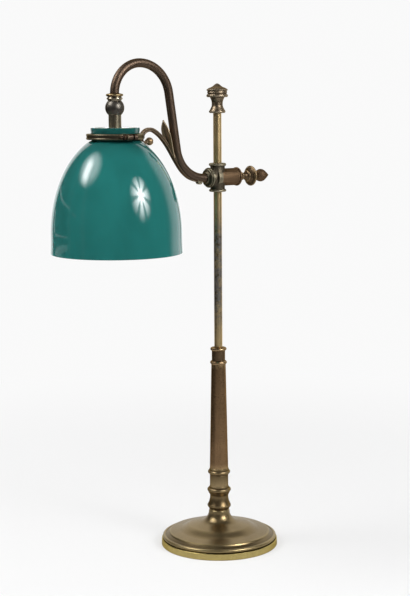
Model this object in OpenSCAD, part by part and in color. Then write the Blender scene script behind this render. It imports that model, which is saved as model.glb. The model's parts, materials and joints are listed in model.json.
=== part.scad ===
// Adjustable desk lamp: a turned brass stem on a weighted foot, with a slider that
// carries a swan-neck arm, a lampholder and a cased-glass bell shade.
// Millimetres. Z is up, the stem's axis is the Z axis, the foot stands on Z = 0,
// and the arm reaches along -X.

/* [Foot] */
// Radius of the foot at the table
foot_r = 72.2; // [66:0.1:80]
// Height of the bright band round the foot
band_h = 8; // [5:0.1:10]
// Radius at which the foot's dished face begins, inside its moulding
dish_r = 60.4; // [57:0.1:62]
// Height of the dished face at its outer edge
dish_z = 17; // [16:0.1:19]
// Radius at the middle of the soft step in the dished face
step_r = 43; // [40:0.1:46]
// Height that the soft step climbs
step_h = 5.2; // [3:0.1:6]
// Wall of the spun foot
foot_wall = 1.6; // [1.2:0.1:2.2]
// Height of the foot at its neck
foot_h = 44; // [42:0.1:50]
// Radius of the foot's neck
foot_neck_r = 13; // [12.4:0.1:14]
// Thickness of the baize under the foot
felt_t = 1.5; // [1:0.1:2]

/* [Column] */
// Height of the vase-shaped knop
knop_h = 30; // [28:0.1:40]
// Radius of the knop at its swell and at its bead
knop_r = 14.5; // [14:0.1:16]
// Height of the collar between the knop and the tapered tube
collar_h = 22.8; // [20:0.1:30]
// Radius of the tapered tube at its foot, and of the collar's neck
column_r = 11.4; // [10.8:0.1:12]
// Height of the tapered tube
taper_h = 130; // [100:1:160]
// Radius of the tapered tube at its top
taper_top_r = 8.9; // [8.6:0.1:9.6]
// Wall of the tapered tube
column_wall = 1.6; // [1.2:0.1:1.8]
// Height of the beaded cap on the tapered tube
cap_h = 21.9; // [19:0.1:30]
// Radius of the cap between its beads
cap_r = 8.2; // [7.6:0.1:8.4]

/* [Stem rod] */
// Radius of the bright stem rod
rod_r = 5; // [4.6:0.1:5.2]
// Wall of the stem rod
rod_wall = 1.2; // [1:0.1:1.5]
// Free length of the stem rod between the cap and the finial
rod_free = 285; // [240:1:340]
// Depth that the rod enters the cap and the finial
rod_seat = 11; // [8:0.1:13]
// Height of the finial
finial_h = 35.3; // [32:0.1:42]
// Radius of the finial's two flanges
finial_r = 13; // [12:0.1:14]
// Radius of the tie rod inside the column
tie_r = 3.9; // [3:0.1:4]

/* [Slider] */
// Height of the slider's middle and of the clamp's axis
slider_z = 456.7; // [420:0.1:480]
// Length of the slider's sleeve
sleeve_h = 34.6; // [32:0.1:42]
// Radius of the sleeve
sleeve_r = 8.8; // [8.5:0.1:9.8]
// Radius of the sleeve's two end flanges
sleeve_flange_r = 10.4; // [10.2:0.1:12]
// Radius of the clamp's barrel
barrel_r = 10.45; // [10.3:0.05:11.5]
// Distance of the barrel's mouth from the stem's axis
barrel_end = 27.4; // [25:0.1:36]
// Thickness of the ring that closes the barrel
barrel_ring_t = 3.6; // [3:0.1:6]
// Radius of the clamp screw
screw_r = 3.5; // [3:0.1:3.8]
// Radius of the clamp knob
knob_r = 12.3; // [11:0.1:14]
// Length of the clamp knob
knob_len = 24; // [23:0.1:28]
// Radius of the acorn on the clamp knob
acorn_r = 7.8; // [7:0.1:9]
// Length of the acorn on the clamp knob
acorn_len = 18.9; // [18:0.1:24]
// Wall of the friction liner on the rod
liner_wall = 1.2; // [1:0.1:1.3]

/* [Arm] */
// Reach of the arm, from the stem's axis to the shade's axis
reach = 146.4; // [140:0.1:165]
// Rise of the arch's centre line above the slider's axis
rise = 135.9; // [128:0.1:150]
// Radius of the swan neck's tube
tube_r = 5.2; // [4.8:0.1:5.5]
// Wall of the swan neck's tube
tube_wall = 1.4; // [1:0.1:1.6]
// Radius of the arch on the shade's side
arch_out_r = 35; // [30:0.1:38]
// Radius of the arch on the stem's side
arch_in_r = 41; // [38:0.1:43]
// Lean of the tube's long leg from the vertical, in degrees
leg_lean = 9; // [7:0.5:11]
// Radius of the cup at the arm's root
cup_r = 12.1; // [11:0.1:13.5]
// Distance of the cup's mouth from the stem's axis
cup_mouth = 18.2; // [17.4:0.1:20]
// Thickness of the scrolled strap
strap_t = 4.1; // [3.4:0.1:4.8]
// Width of the scrolled strap
strap_w = 5.2; // [4.5:0.1:8]
// Radius of the strap's crest beside the shade's ring
crest_r = 11; // [9:0.1:12]
// Radius of the ball in the scroll's eye
eye_r = 4.3; // [3.6:0.1:4.6]
// Width of the leaf
leaf_w = 13; // [10:0.1:15]
// Height of the leaf's tip above the slider's axis
leaf_tip_z = 69.4; // [64:0.1:74]

/* [Lampholder] */
// Radius of the ball above the lampholder
ball_r = 10.95; // [10:0.05:12.5]
// Height of the ball's centre above the shade's rim
ball_rise = 22.4; // [20:0.1:28]
// Radius of the drop tube between the ball and the lampholder
drop_r = 7.3; // [6.6:0.1:8]
// Depth of the lampholder's cap below the shade's rim
holder_drop = 12; // [10:0.1:20]
// Radius of the bulb's cap
bulb_cap_r = 11; // [10.9:0.05:11.1]
// Radius of the bulb
bulb_r = 27.5; // [20:0.1:28]
// Length of the bulb with its cap
bulb_len = 90; // [84:0.5:94]

/* [Shade] */
// Height of the shade's rim above the table
rim_z = 519.3; // [480:0.1:545]
// Height of the shade
shade_h = 144; // [130:0.5:152]
// Radius of the shade at its belly
shade_r = 75.9; // [68:0.1:84]
// Radius of the shade at its mouth
mouth_r = 76.5; // [68:0.1:86]
// Radius of the shade's lip
lip_r = 28.3; // [27.6:0.1:29]
// Height of the shade's lip above its ring
lip_h = 6.9; // [5:0.1:9]
// Radius of the shade's neck inside its ring
neck_r = 26.3; // [24:0.1:26.8]
// Thickness of the coloured casing
casing_t = 1.6; // [1.2:0.1:2.2]
// Thickness of the opal lining
lining_t = 1.2; // [0.8:0.1:1.8]

/* [Shade ring] */
// Outer radius of the split ring
ring_r = 33.2; // [31:0.1:36]
// Height of the split ring
ring_h = 6.6; // [5:0.1:8]
// Width of the ring's split
split_w = 1.5; // [1:0.1:2.5]
// Radius of the ring's two lugs
lug_r = 3.5; // [3:0.1:4]
// Radius of the ring's screw
ring_screw_r = 1.6; // [1.2:0.1:2]
// Length of the ring screw's turned handle
handle_len = 9.6; // [9:0.1:14]

/* [Fits] */
// Radial clearance of a running fit
run_fit = 0.05; // [0.03:0.01:0.09]
// Radial clearance of a seat or a screwed joint
seat_fit = 0.05; // [0.03:0.01:0.1]
// Gap between the casing and the lining of the glass
glass_gap = 0.05; // [0.02:0.01:0.1]

/* [Hidden] */
$fn = 96;
// How far a cutting shape runs past the face that it cuts
cut = 1;

// Heights of the column's joints
knop_z = foot_h;
collar_z = knop_z + knop_h;
taper_z = collar_z + collar_h;
cap_z = taper_z + taper_h;
rod_z = cap_z + cap_h;
finial_z = rod_z + rod_free;
rod_bore_r = rod_r - rod_wall;
tie_hole_r = tie_r + 0.5;
spigot_r = 8;
spigot_h = 6;

// Foot: the moulding over the band, and the slopes of the dished face
bead_r = 2.4;
bead_c = [foot_r - 4, band_h + 0.1 + bead_r];
rim_seat_z = band_h + 0.1;
dish_slope = 0.17;
mound_slope = 0.24;
step_half = 7;
step_in_r = step_r - step_half;
step_out_r = step_r + step_half;
step_out_z = dish_z + (dish_r - step_out_r) * dish_slope;
step_in_z = step_out_z + 2 * step_half * (dish_slope + mound_slope) / 2 + step_h - 0.5;
hub_z = face_z(20) - 4;
neck_fillet = 15.5;
neck_fillet_start = 12;
neck_fillet_end = atan(1 / mound_slope);
neck_fillet_c = [
    foot_neck_r + neck_fillet * cos(neck_fillet_start),
    face_z(foot_neck_r + neck_fillet * (cos(neck_fillet_start) - cos(neck_fillet_end)))
        + neck_fillet * sin(neck_fillet_end)
];

// Slider, measured along the clamp's axis from the stem's axis
liner_r = rod_r + run_fit + liner_wall;
sleeve_bore_r = liner_r + run_fit;
boss_in = 4.7;
boss_out = 1.2;
boss_r = barrel_r + 0.4;
pilot_r = 8.4;
pilot_end = 12;
shoe_r = 3.9;
shoe_nose_r = 2.4;
groove_w = 5.2;
groove_depth = 0.5;
shoe_len = 3.4;
shoe_tip = liner_r - groove_depth + run_fit;
screw_tip = shoe_tip + shoe_len;
knob_start = barrel_end + barrel_ring_t + 5;
acorn_start = knob_start + knob_len;
cup_back = 12;
cup_floor = 15;

// Arm: centre line of the swan neck in the arm's plane, as [x, z]
arch_z = slider_z + rise;
arch_c = [-reach + arch_out_r, arch_z];
leg_c = cos(leg_lean);
leg_s = sin(leg_lean);
arm_root = cup_mouth + 1.8;
leg_top = [arch_c[0] + arch_in_r * leg_c, arch_z - arch_in_r * (1 - leg_s)];
leg_span = -arm_root - leg_top[0];
leg_drop = leg_top[1] - slider_z;
leg_len = leg_c * leg_drop / (1 - leg_s) - leg_span;
sweep_r = (leg_c * leg_span - leg_s * leg_drop) / (1 - leg_s);
sweep_c = [-arm_root, slider_z + sweep_r];
tube_end_z = rim_z + 35.6;
leg_step = 0.01;
leg_overlap = 0.2;

// Lampholder stack, downwards from the tube's end
flange_h = 3.4;
flange_r = 9.9;
lock_h = 4.6;
lock_r = 9.2;
ball_z = rim_z + ball_rise;
ball_top = tube_end_z - 0.4 - lock_h;
ball_low = ball_z - sqrt(pow(ball_r, 2) - pow(drop_r + 0.3, 2));
drop_bore_r = drop_r - 1.3;
holder_z = rim_z - holder_drop;
holder_cap_h = 21;
shell_r = 13.3;
shell_bore_r = bulb_cap_r + 0.6;
shell_top = holder_z - holder_cap_h + 5;
insulator_h = 9;
plunger_r = 1.9;
plunger_x = 4;
bulb_top = shell_top - insulator_h - 2.2;
pin_z = bulb_top - 8;
pin_slot = 2.5;
bayonet_turn = 16;
shell_low = pin_z - 6.75;
cap_wall = 0.8;
cap_low = bulb_top - 25.4;

// Shade: an ellipse from the shoulder to the belly, then a slight flare
mouth_z = rim_z - shade_h;
ring_top = rim_z - lip_h;
ring_low = ring_top - ring_h;
belly_rise = 21.2;
belly_z = mouth_z + belly_rise;
shoulder_z = ring_low - 1.2;
shoulder_run = 9.7;
dome_h = (shoulder_z - 5.2 - belly_z) / sqrt(1 - pow((neck_r + shoulder_run) / shade_r, 2));
ring_bore_r = neck_r + 0.2;
lug_y = ring_r + 3.8;
lug_left = -7.4;
lug_right = 4.8;
split_x = -0.6;
ring_mid = (ring_top + ring_low) / 2;
washer_t = 0.9;

// Bracket: the strap's line in the arm's plane
ring_face = -reach + ring_r;
crest_c = [ring_face + strap_t / 2 + 0.1 + crest_r, ring_low - 0.8];
crest_end = 50;
tail_proud = 1.3;
tail_r = sweep_r + tube_r + tail_proud - strap_t / 2;
tail_start = 218;
tail_end = 252;
tail_knob_r = 3.1;
tail_knob_at = tail_end + atan(0.77 * tail_knob_r / tail_r);
handle_reach = 1.36 * crest_r;
eye_c = crest_c + [0, -2.6];
hook_r = 4.4;
leaf_tip_in = 65.8;
leaf_tip = [leaf_tip_in - reach, slider_z + leaf_tip_z];
leaf_t = 2.2;
pad_len = 6;
pad_w = 8;

// Points on an arc about c, from angle a to angle b
function arc(c, r, a, b, n = 8) =
    [for (i = [0:n]) c + r * [cos(a + (b - a) * i / n), sin(a + (b - a) * i / n)]];

// Points on a cubic curve from p to s, drawn towards q and r
function curve(p, q, r, s, n = 12) = [
    for (i = [0:n])
        let (t = i / n, u = 1 - t)
            u * u * u * p + 3 * u * u * t * q + 3 * u * t * t * r + t * t * t * s
];

// Smooth step from 0 to 1
function ease(t) = (1 - cos(180 * min(1, max(0, t)))) / 2;

// Height of the foot's dished face at radius r
function face_z(r) =
    let (
        outer = dish_z + (dish_r - r) * dish_slope,
        inner = step_in_z + (step_in_r - r) * mound_slope
    )
        outer + (inner - outer) * ease((step_out_r - r) / (step_out_r - step_in_r));

// Side line of a band along the points p, at half its thickness h, which may be a list
function band_side(p, h) = [
    for (i = [0:len(p) - 1])
        let (
            d = p[min(i + 1, len(p) - 1)] - p[max(i - 1, 0)],
            n = [-d[1], d[0]] / norm(d)
        )
            p[i] + n * (is_list(h) ? h[i] : h)
];
function reversed(p) = [for (i = [len(p) - 1:-1:0]) p[i]];
function ribbon(p, h) = concat(band_side(p, h), reversed(band_side(p, is_list(h) ? -1 * h : -h)));

// A solid of revolution about Z from an outline of [radius, height] points
module turned(outline) {
    rotate_extrude(convexity = 8) polygon(outline);
}

// The same about the clamp's axis, which runs along +X
module turned_x(outline) {
    translate([0, 0, slider_z]) rotate([0, 90, 0]) turned(outline);
}

module rod_x(r, from, to) {
    translate([from, 0, slider_z]) rotate([0, 90, 0]) cylinder(r = r, h = to - from);
}

module rod_z(r, from, to) {
    translate([0, 0, from]) cylinder(r = r, h = to - from);
}

module at_shade() {
    translate([-reach, 0, 0]) children();
}

// A flat shape in the arm's plane, given a width across that plane
module in_arm_plane(width) {
    translate([0, width / 2, 0]) rotate([90, 0, 0]) linear_extrude(width) children();
}

// FOOT

module base_felt() {
    color("darkgreen") turned([
        [0, 0], [foot_r - 4, 0], [foot_r - 4, felt_t], [0, felt_t]
    ]);
}

module base_band() {
    lip = foot_r - 4 + seat_fit;
    color("gold") turned([
        [lip, 0], [foot_r - 0.4, 0], [foot_r, 0.5], [foot_r - 0.4, band_h - 0.4],
        [foot_r - 0.9, band_h], [foot_r - 8, band_h], [foot_r - 8, felt_t + 0.2],
        [lip, felt_t + 0.2]
    ]);
}

module base_dome() {
    face = [for (i = [0:16]) let (r = dish_r - i * (dish_r - neck_fillet_c[0]) / 16) [r, face_z(r)]];
    under = [for (i = [0:12]) let (r = 20 + i * (dish_r - 22) / 12) [r, face_z(r) - foot_wall]];
    color("darkkhaki") turned(concat(
        [[bead_c[0] - bead_r - 3.2, rim_seat_z], [bead_c[0] + 1, rim_seat_z]],
        arc(bead_c, bead_r, -60, 130, 12),
        [[dish_r + 2.4, dish_z - 2.2], [dish_r + 1.6, dish_z - 0.7], [dish_r + 0.8, dish_z - 0.15]],
        face,
        reversed(arc(neck_fillet_c, neck_fillet, 180 + neck_fillet_start, 180 + neck_fillet_end, 10)),
        [[foot_neck_r - 0.1, foot_h - 2], [foot_neck_r - 0.6, foot_h - 0.5],
         [foot_neck_r - 1, foot_h], [spigot_r + seat_fit, foot_h],
         [spigot_r + seat_fit, foot_h - spigot_h - 0.2], [tie_hole_r, foot_h - spigot_h - 0.2],
         [tie_hole_r, hub_z], [16, hub_z]],
        under
    ));
}

module base_weight() {
    gap = 0.3;
    top = [for (i = [0:8]) let (r = 56 - i * 4.5) [r, face_z(r) - foot_wall - gap]];
    color("dimgray") turned(concat(
        [[14, felt_t + 1.6], [foot_r - 10.5, felt_t + 1.6], [foot_r - 10.5, band_h],
         [dish_r - 2.6, dish_z - 4]],
        top,
        [[16.5, hub_z - gap], [tie_hole_r, hub_z - gap], [tie_hole_r, felt_t + 9], [14, felt_t + 9]]
    ));
}

module base_washer() {
    color("silver") turned([
        [tie_r + 0.2, felt_t + 7.4], [11, felt_t + 7.4], [11, felt_t + 8.9], [tie_r + 0.2, felt_t + 8.9]
    ]);
}

module base_nut() {
    color("goldenrod") difference() {
        rod_hex(7.5, felt_t + 0.9, felt_t + 7.3);
        rod_z(tie_r + seat_fit, felt_t, felt_t + 8);
    }
}

module rod_hex(r, from, to) {
    translate([0, 0, from]) cylinder(r = r, h = to - from, $fn = 6);
}

module tie_rod() {
    color("gray") rod_z(tie_r, felt_t + 0.5, cap_z + 4);
}

// COLUMN

module column_knop() {
    swell_z = knop_z + 5;
    bead_z = knop_z + knop_h - 5;
    waist_r = column_r - 0.1;
    color("tan") turned(concat(
        [[tie_hole_r, knop_z - spigot_h], [spigot_r, knop_z - spigot_h], [spigot_r, knop_z],
         [foot_neck_r - 0.7, knop_z]],
        arc([knop_r - 3.2, swell_z], 3.2, -62, 40, 8),
        [[waist_r + 1.2, swell_z + 5], [waist_r + 0.5, swell_z + 7.6], [waist_r + 0.1, swell_z + 10.4],
         [waist_r, swell_z + 12.4], [waist_r + 0.3, bead_z - 6.3], [waist_r + 0.9, bead_z - 5],
         [knop_r - 1.5, bead_z - 3.8]],
        arc([knop_r - 2.6, bead_z + 0.1], 2.7, -50, 62, 8),
        [[column_r + 0.5, bead_z + 3], [column_r + 0.5, knop_z + knop_h],
         [spigot_r + seat_fit, knop_z + knop_h],
         [spigot_r + seat_fit, knop_z + knop_h - spigot_h - 0.2],
         [tie_hole_r, knop_z + knop_h - spigot_h - 0.2]]
    ));
}

module column_collar() {
    bead_z = collar_z + collar_h - 5;
    bore_r = column_r - column_wall - seat_fit;
    color("tan") turned(concat(
        [[tie_hole_r, collar_z - spigot_h], [spigot_r, collar_z - spigot_h], [spigot_r, collar_z],
         [column_r, collar_z], [column_r, bead_z - 3.8], [column_r - 0.3, bead_z - 3.4],
         [column_r + 0.5, bead_z - 3]],
        arc([column_r, bead_z], 2.4, -75, 75, 10),
        [[column_r + 0.6, bead_z + 3.2], [column_r + 0.6, bead_z + 4], [column_r, bead_z + 4.4],
         [column_r, taper_z], [bore_r - 0.1, taper_z], [bore_r - 0.3, taper_z + spigot_h],
         [tie_hole_r, taper_z + spigot_h]]
    ));
}

module column_tube() {
    color("peru") turned([
        [column_r - column_wall, taper_z], [column_r, taper_z],
        [taper_top_r, cap_z], [taper_top_r - column_wall, cap_z]
    ]);
}

module column_cap() {
    plug_r = taper_top_r - column_wall - seat_fit - 0.1;
    low_z = cap_z + 2.9;
    top_z = rod_z - 2.2;
    color("tan") turned(concat(
        [[tie_r + seat_fit, cap_z - 10], [plug_r, cap_z - 10], [plug_r, cap_z], [taper_top_r, cap_z],
         [taper_top_r, low_z - 2.2]],
        arc([cap_r - 0.2, low_z], 2.3, -60, 60, 8),
        [[cap_r, low_z + 2.6], [cap_r, top_z - 2.4]],
        arc([cap_r - 0.2, top_z], 2.0, -70, 70, 8),
        [[rod_r + 1.6, rod_z], [rod_r + seat_fit, rod_z], [rod_r + seat_fit, rod_z - rod_seat - 0.3],
         [0, rod_z - rod_seat - 0.3], [0, cap_z + 4.3], [tie_r + seat_fit, cap_z + 4.3]]
    ));
}

// STEM ROD AND FINIAL

module stem_rod() {
    color("gold") difference() {
        rod_z(rod_r, rod_z - rod_seat, finial_z + rod_seat);
        rod_z(rod_bore_r, rod_z - rod_seat - cut, finial_z + rod_seat + cut);
    }
}

module rod_plug() {
    stud_r = rod_bore_r - 0.8;
    top = finial_z + rod_seat;
    color("gray") turned([
        [0, top - 18], [rod_bore_r - seat_fit, top - 18], [rod_bore_r - seat_fit, top],
        [stud_r, top], [stud_r, top + 8], [0, top + 8]
    ]);
}

module finial() {
    z = finial_z;
    top = finial_z + finial_h;
    stud_r = rod_bore_r - 0.8 + seat_fit;
    waist_r = rod_r + 1.65;
    color("olive") turned(concat(
        [[rod_r + seat_fit, z + 0.1]],
        arc([8.2, z + 1.8], 1.8, -80, 60, 6),
        [[8.7, z + 4.2], [7.9, z + 5.4], [7.2, z + 6.7], [waist_r + 0.1, z + 8], [waist_r, z + 9.3],
         [waist_r, z + 12.6], [waist_r + 0.2, z + 14], [waist_r + 0.7, z + 15.6],
         [waist_r + 1.3, z + 17], [waist_r + 2, z + 18.2], [waist_r + 2, z + 18.9]],
        arc([finial_r - 1.9, z + 20.7], 1.9, -75, 75, 8),
        [[finial_r - 2.6, z + 23.1], [finial_r - 2.3, z + 24.5], [finial_r - 2.6, z + 26],
         [finial_r - 1.3, z + 26.6], [finial_r, z + 27.1], [finial_r, z + 27.7], [finial_r - 1, z + 28.5],
         [finial_r - 1.9, z + 29.4], [finial_r - 2.5, z + 30], [finial_r - 3.6, z + 30.4],
         [7.2, z + 31], [5.8, z + 31.7], [4.6, z + 32.6], [3.3, z + 33.7]],
        arc([0, top - 3.6], 3.6, 48, 90, 5),
        [[0, z + rod_seat + 8.5], [stud_r, z + rod_seat + 8.5], [stud_r, z + rod_seat + 0.3],
         [rod_r + seat_fit, z + rod_seat + 0.3]]
    ));
}

// SLIDER AND CLAMP

module friction_liner() {
    half = sleeve_h / 2 - 1.2;
    color("orange") difference() {
        rod_z(liner_r, slider_z - half, slider_z + half);
        rod_z(rod_r + run_fit, slider_z - half - cut, slider_z + half + cut);
        rotate_extrude() translate([liner_r - groove_depth, slider_z - groove_w / 2])
            square([2, groove_w]);
        translate([-0.5, 0, slider_z - half - cut]) cube([1, liner_r + cut, 2 * half + 2 * cut]);
    }
}

module slider_sleeve() {
    low = slider_z - sleeve_h / 2;
    top = slider_z + sleeve_h / 2;
    color("darkolivegreen") difference() {
        union() {
            turned(concat(
                [[0, low]],
                arc([sleeve_flange_r - 1.5, low + 1.6], 1.6, -80, 70, 6),
                [[sleeve_r, low + 3.6], [sleeve_r, top - 4.4], [sleeve_r + 0.3, top - 3.6],
                 [sleeve_flange_r - 0.3, top - 3.1], [sleeve_flange_r, top - 2.6],
                 [sleeve_flange_r, top - 0.9], [sleeve_flange_r - 0.6, top - 0.3],
                 [sleeve_flange_r - 1.6, top], [0, top]]
            ));
            rod_x(boss_r, -boss_in, boss_out);
            rod_x(pilot_r, 0, pilot_end);
            rod_x(7, -11, 0);
        }
        rod_z(sleeve_bore_r, low - cut, top + cut);
        rod_x(shoe_r + run_fit, 0, pilot_end + cut);
        rod_x(4.5, -11 - cut, -7.4);
    }
}

module clamp_barrel() {
    color("sienna") difference() {
        turned_x([
            [screw_r + run_fit, pilot_end + 0.1], [pilot_r + seat_fit, pilot_end + 0.1],
            [pilot_r + seat_fit, boss_out + 0.05], [barrel_r - 0.3, boss_out + 0.05],
            [barrel_r, boss_out + 0.4], [barrel_r, barrel_end - 1.2], [barrel_r - 0.4, barrel_end - 0.8],
            [barrel_r - 0.4, barrel_end], [screw_r + run_fit, barrel_end]
        ]);
        rod_z(sleeve_r + seat_fit, slider_z - sleeve_h / 2, slider_z + sleeve_h / 2);
    }
}

module barrel_ring() {
    ring_out = barrel_r + 0.95;
    e = barrel_end + 0.05;
    color("saddlebrown") turned_x(concat(
        [[screw_r + run_fit, e]],
        arc([ring_out - 1.3, e + 1.3], 1.3, -90, 35, 6),
        [[ring_out - 1.6, e + 2.9], [ring_out - 4.4, e + barrel_ring_t],
         [screw_r + run_fit, e + barrel_ring_t]]
    ));
}

module clamp_shoe() {
    color("gold") turned_x([
        [0, shoe_tip], [shoe_nose_r, shoe_tip], [shoe_nose_r, shoe_tip + 1.4],
        [shoe_r, shoe_tip + 1.4], [shoe_r, screw_tip], [0, screw_tip]
    ]);
}

module clamp_screw() {
    color("darkgoldenrod") turned_x([
        [0, screw_tip + 0.05], [screw_r - 0.6, screw_tip + 0.05], [screw_r, screw_tip + 0.7],
        [screw_r, knob_start + 4], [0, knob_start + 4]
    ]);
}

module clamp_knob() {
    s = knob_start;
    rim = s + 14.6;
    color("chocolate") turned_x(concat(
        [[screw_r + seat_fit, s], [4.2, s], [4.8, s + 0.7], [4.8, s + 1.6], [4.2, s + 2.4],
         [4, s + 3.8], [4.2, s + 5.8], [5.4, s + 7.6], [6.6, s + 8.4], [7, s + 9.2], [6.8, s + 10],
         [knob_r - 3.6, rim - 2.2]],
        arc([knob_r - 1.1, rim], 1.1, -50, 50, 5),
        [[knob_r - 3.4, rim + 2.6], [6.6, rim + 6], [5.2, rim + 8], [4.7, s + knob_len],
         [0, s + knob_len], [0, s + 4.1], [screw_r + seat_fit, s + 4.1]]
    ));
}

module clamp_acorn() {
    s = acorn_start + 0.05;
    color("maroon") turned_x(concat(
        [[0, s], [4.5, s], [acorn_r - 2, s + 1.2], [acorn_r - 0.8, s + 3], [acorn_r - 0.1, s + 5],
         [acorn_r, s + 6.4], [acorn_r - 0.4, s + 8.4], [acorn_r - 1.5, s + 10.7],
         [acorn_r - 3.2, s + 13.2], [acorn_r - 5, s + 15.6], [1.2, s + acorn_len - 1.3],
         [0.5, s + acorn_len - 0.4], [0, s + acorn_len - 0.2]]
    ));
}

// ARM

// The swan neck's line, swept with a round section of radius r and bored to radius b.
// The straight leg is finer by leg_step, and runs into the bends at both its ends.
module neck_sweep(r, b = 0) {
    arm_bend(arch_c[0], arch_z - arch_out_r, arch_out_r, 90, 180, r, b);
    arm_bend(arch_c[0], arch_z - arch_in_r, arch_in_r, leg_lean, 90, r, b);
    arm_bend(sweep_c[0], sweep_c[1], sweep_r, 180 + leg_lean, 270, r, b);
    translate([leg_top[0], 0, leg_top[1]]) rotate([0, 180 - leg_lean, 0])
        translate([0, 0, -leg_overlap])
            pipe(r - leg_step, b > 0 ? b + leg_step : 0, leg_len + 2 * leg_overlap);
    translate([-reach, 0, tube_end_z]) pipe(r, b, arch_z - arch_out_r - tube_end_z);
    translate([-arm_root, 0, slider_z]) rotate([0, 90, 0]) pipe(r, b, arm_root - cup_floor);
}

// A straight tube along Z
module pipe(r, b, h) {
    rotate_extrude() translate([b, 0]) square([r - b, h]);
}

// A tube bent about the point x, z in the arm's plane, between two angles
module arm_bend(x, z, bend, from, to, r, b) {
    translate([x, 0, z]) rotate([90, 0, 0]) rotate_extrude(start = from, angle = to - from)
        translate([bend, 0]) difference() {
            circle(r);
            circle(b);
        }
}

module swan_neck() {
    color("sienna") neck_sweep(tube_r, tube_r - tube_wall);
}

module arm_cup() {
    c = cup_back;
    color("olive") difference() {
        translate([0, 0, slider_z]) rotate([0, -90, 0]) turned(concat(
            [[0, 7.5], [4.45, 7.5], [4.45, 11.05], [7.4, 11.05], [7.4, c]],
            [[cup_r - 1.4, c], [cup_r - 0.4, c + 0.3], [cup_r, c + 1], [cup_r - 0.2, c + 2],
             [cup_r - 1, c + 3.1], [cup_r - 2.1, c + 4.7], [cup_r - 2.9, cup_mouth - 0.6],
             [cup_r - 3.5, cup_mouth], [cup_r - 4.2, cup_mouth], [cup_r - 4.6, cup_mouth - 0.8],
             [7.4, cup_floor + 0.3], [6.6, cup_floor + 0.3], [6.6, cup_floor + 1.6],
             [tube_r + seat_fit, cup_floor + 1.6], [tube_r + seat_fit, cup_floor - 0.05],
             [0, cup_floor - 0.05]]
        ));
    }
}

// The strap's centre line, from the scroll's eye over the crest and down to its tail
strap_fall = curve(
    crest_c + crest_r * [cos(crest_end - 2), sin(crest_end - 2)],
    crest_c + crest_r * [cos(crest_end), sin(crest_end)]
        + handle_reach * [sin(crest_end), -cos(crest_end)],
    sweep_c + tail_r * [cos(tail_start), sin(tail_start)]
        - handle_reach * [-sin(tail_start), cos(tail_start)],
    sweep_c + tail_r * [cos(tail_start), sin(tail_start)], 12
);
strap_line = concat(
    arc(crest_c + [-crest_r + hook_r, 0], hook_r, 314, 192, 6),
    arc(crest_c, crest_r, 180, crest_end, 12),
    strap_fall,
    arc(sweep_c, tail_r, tail_start + 3, tail_end, 8)
);

// Half thickness of the strap at each point of its line, thin at the scroll's eye and at the tail
strap_half = [
    for (i = [0:len(strap_line) - 1])
        strap_t / 2 * min(1, 0.5 + i * 0.06, 0.45 + (len(strap_line) - 1 - i) * 0.12)
];

// The leaf's side line, from its root on the strap to its tip
leaf_root = strap_fall[9] + strap_t * [-0.54, 0.1];
leaf_rise = leaf_tip[1] - leaf_root[1];
leaf_line = curve(
    leaf_root,
    leaf_root + leaf_rise * [-0.143, 0.395],
    leaf_tip + leaf_rise * [0.07, -0.35],
    leaf_tip + [0, leaf_rise * 0.013], 14
);

module leaf_outline() {
    side = [for (i = [0:14])
        let (t = i / 14)
            [leaf_w / 2 * leaf_swell(t), leaf_root[1] + leaf_rise * (1.03 * t - 0.022)]];
    polygon(concat(side, [for (p = reversed(side)) [-p[0], p[1]]]));
}

// Half width of the leaf along its height, from 0 at the root to 1 at the tip
function leaf_swell(t) = t < 0.68
    ? 0.42 + 0.58 * ease(t / 0.68)
    : max(0.02, cos(90 * pow((t - 0.68) / 0.32, 1.25)));

module leaf() {
    vein = [for (i = [0:len(leaf_line) - 3]) leaf_line[i]];
    difference() {
        intersection() {
            in_arm_plane(leaf_w + 2) polygon(ribbon(leaf_line, leaf_t / 2));
            translate([leaf_tip[0] - leaf_w, 0, 0]) rotate([90, 0, 90])
                linear_extrude(leaf_root[0] - leaf_tip[0] + 2 * leaf_w) leaf_outline();
        }
        in_arm_plane(0.9) polygon(ribbon(band_side(vein, leaf_t / 2), 0.6));
    }
}

module leaf_bracket() {
    color("darkkhaki") difference() {
        union() {
            in_arm_plane(strap_w) polygon(ribbon(strap_line, strap_half));
            in_arm_plane(strap_w - 1.4) polygon(ribbon(strap_line, [for (h = strap_half) h + 0.35]));
            leaf();
            translate([eye_c[0], 0, eye_c[1]]) sphere(eye_r);
            translate([ring_face + pad_len / 3, 0, ring_mid])
                cube([pad_len, pad_w, ring_h - 0.6], center = true);
            translate([sweep_c[0], 0, sweep_c[1]])
                translate([(tail_r + 0.4) * cos(tail_knob_at), 0, (tail_r + 0.4) * sin(tail_knob_at)])
                    rotate([90, 0, 0]) cylinder(r = tail_knob_r, h = strap_w + 1, center = true);
        }
        neck_sweep(tube_r + 0.02);
        at_shade() rod_z(ring_r + 0.02, ring_low - 20, ring_top + 20);
    }
}

// SHADE RING

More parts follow.
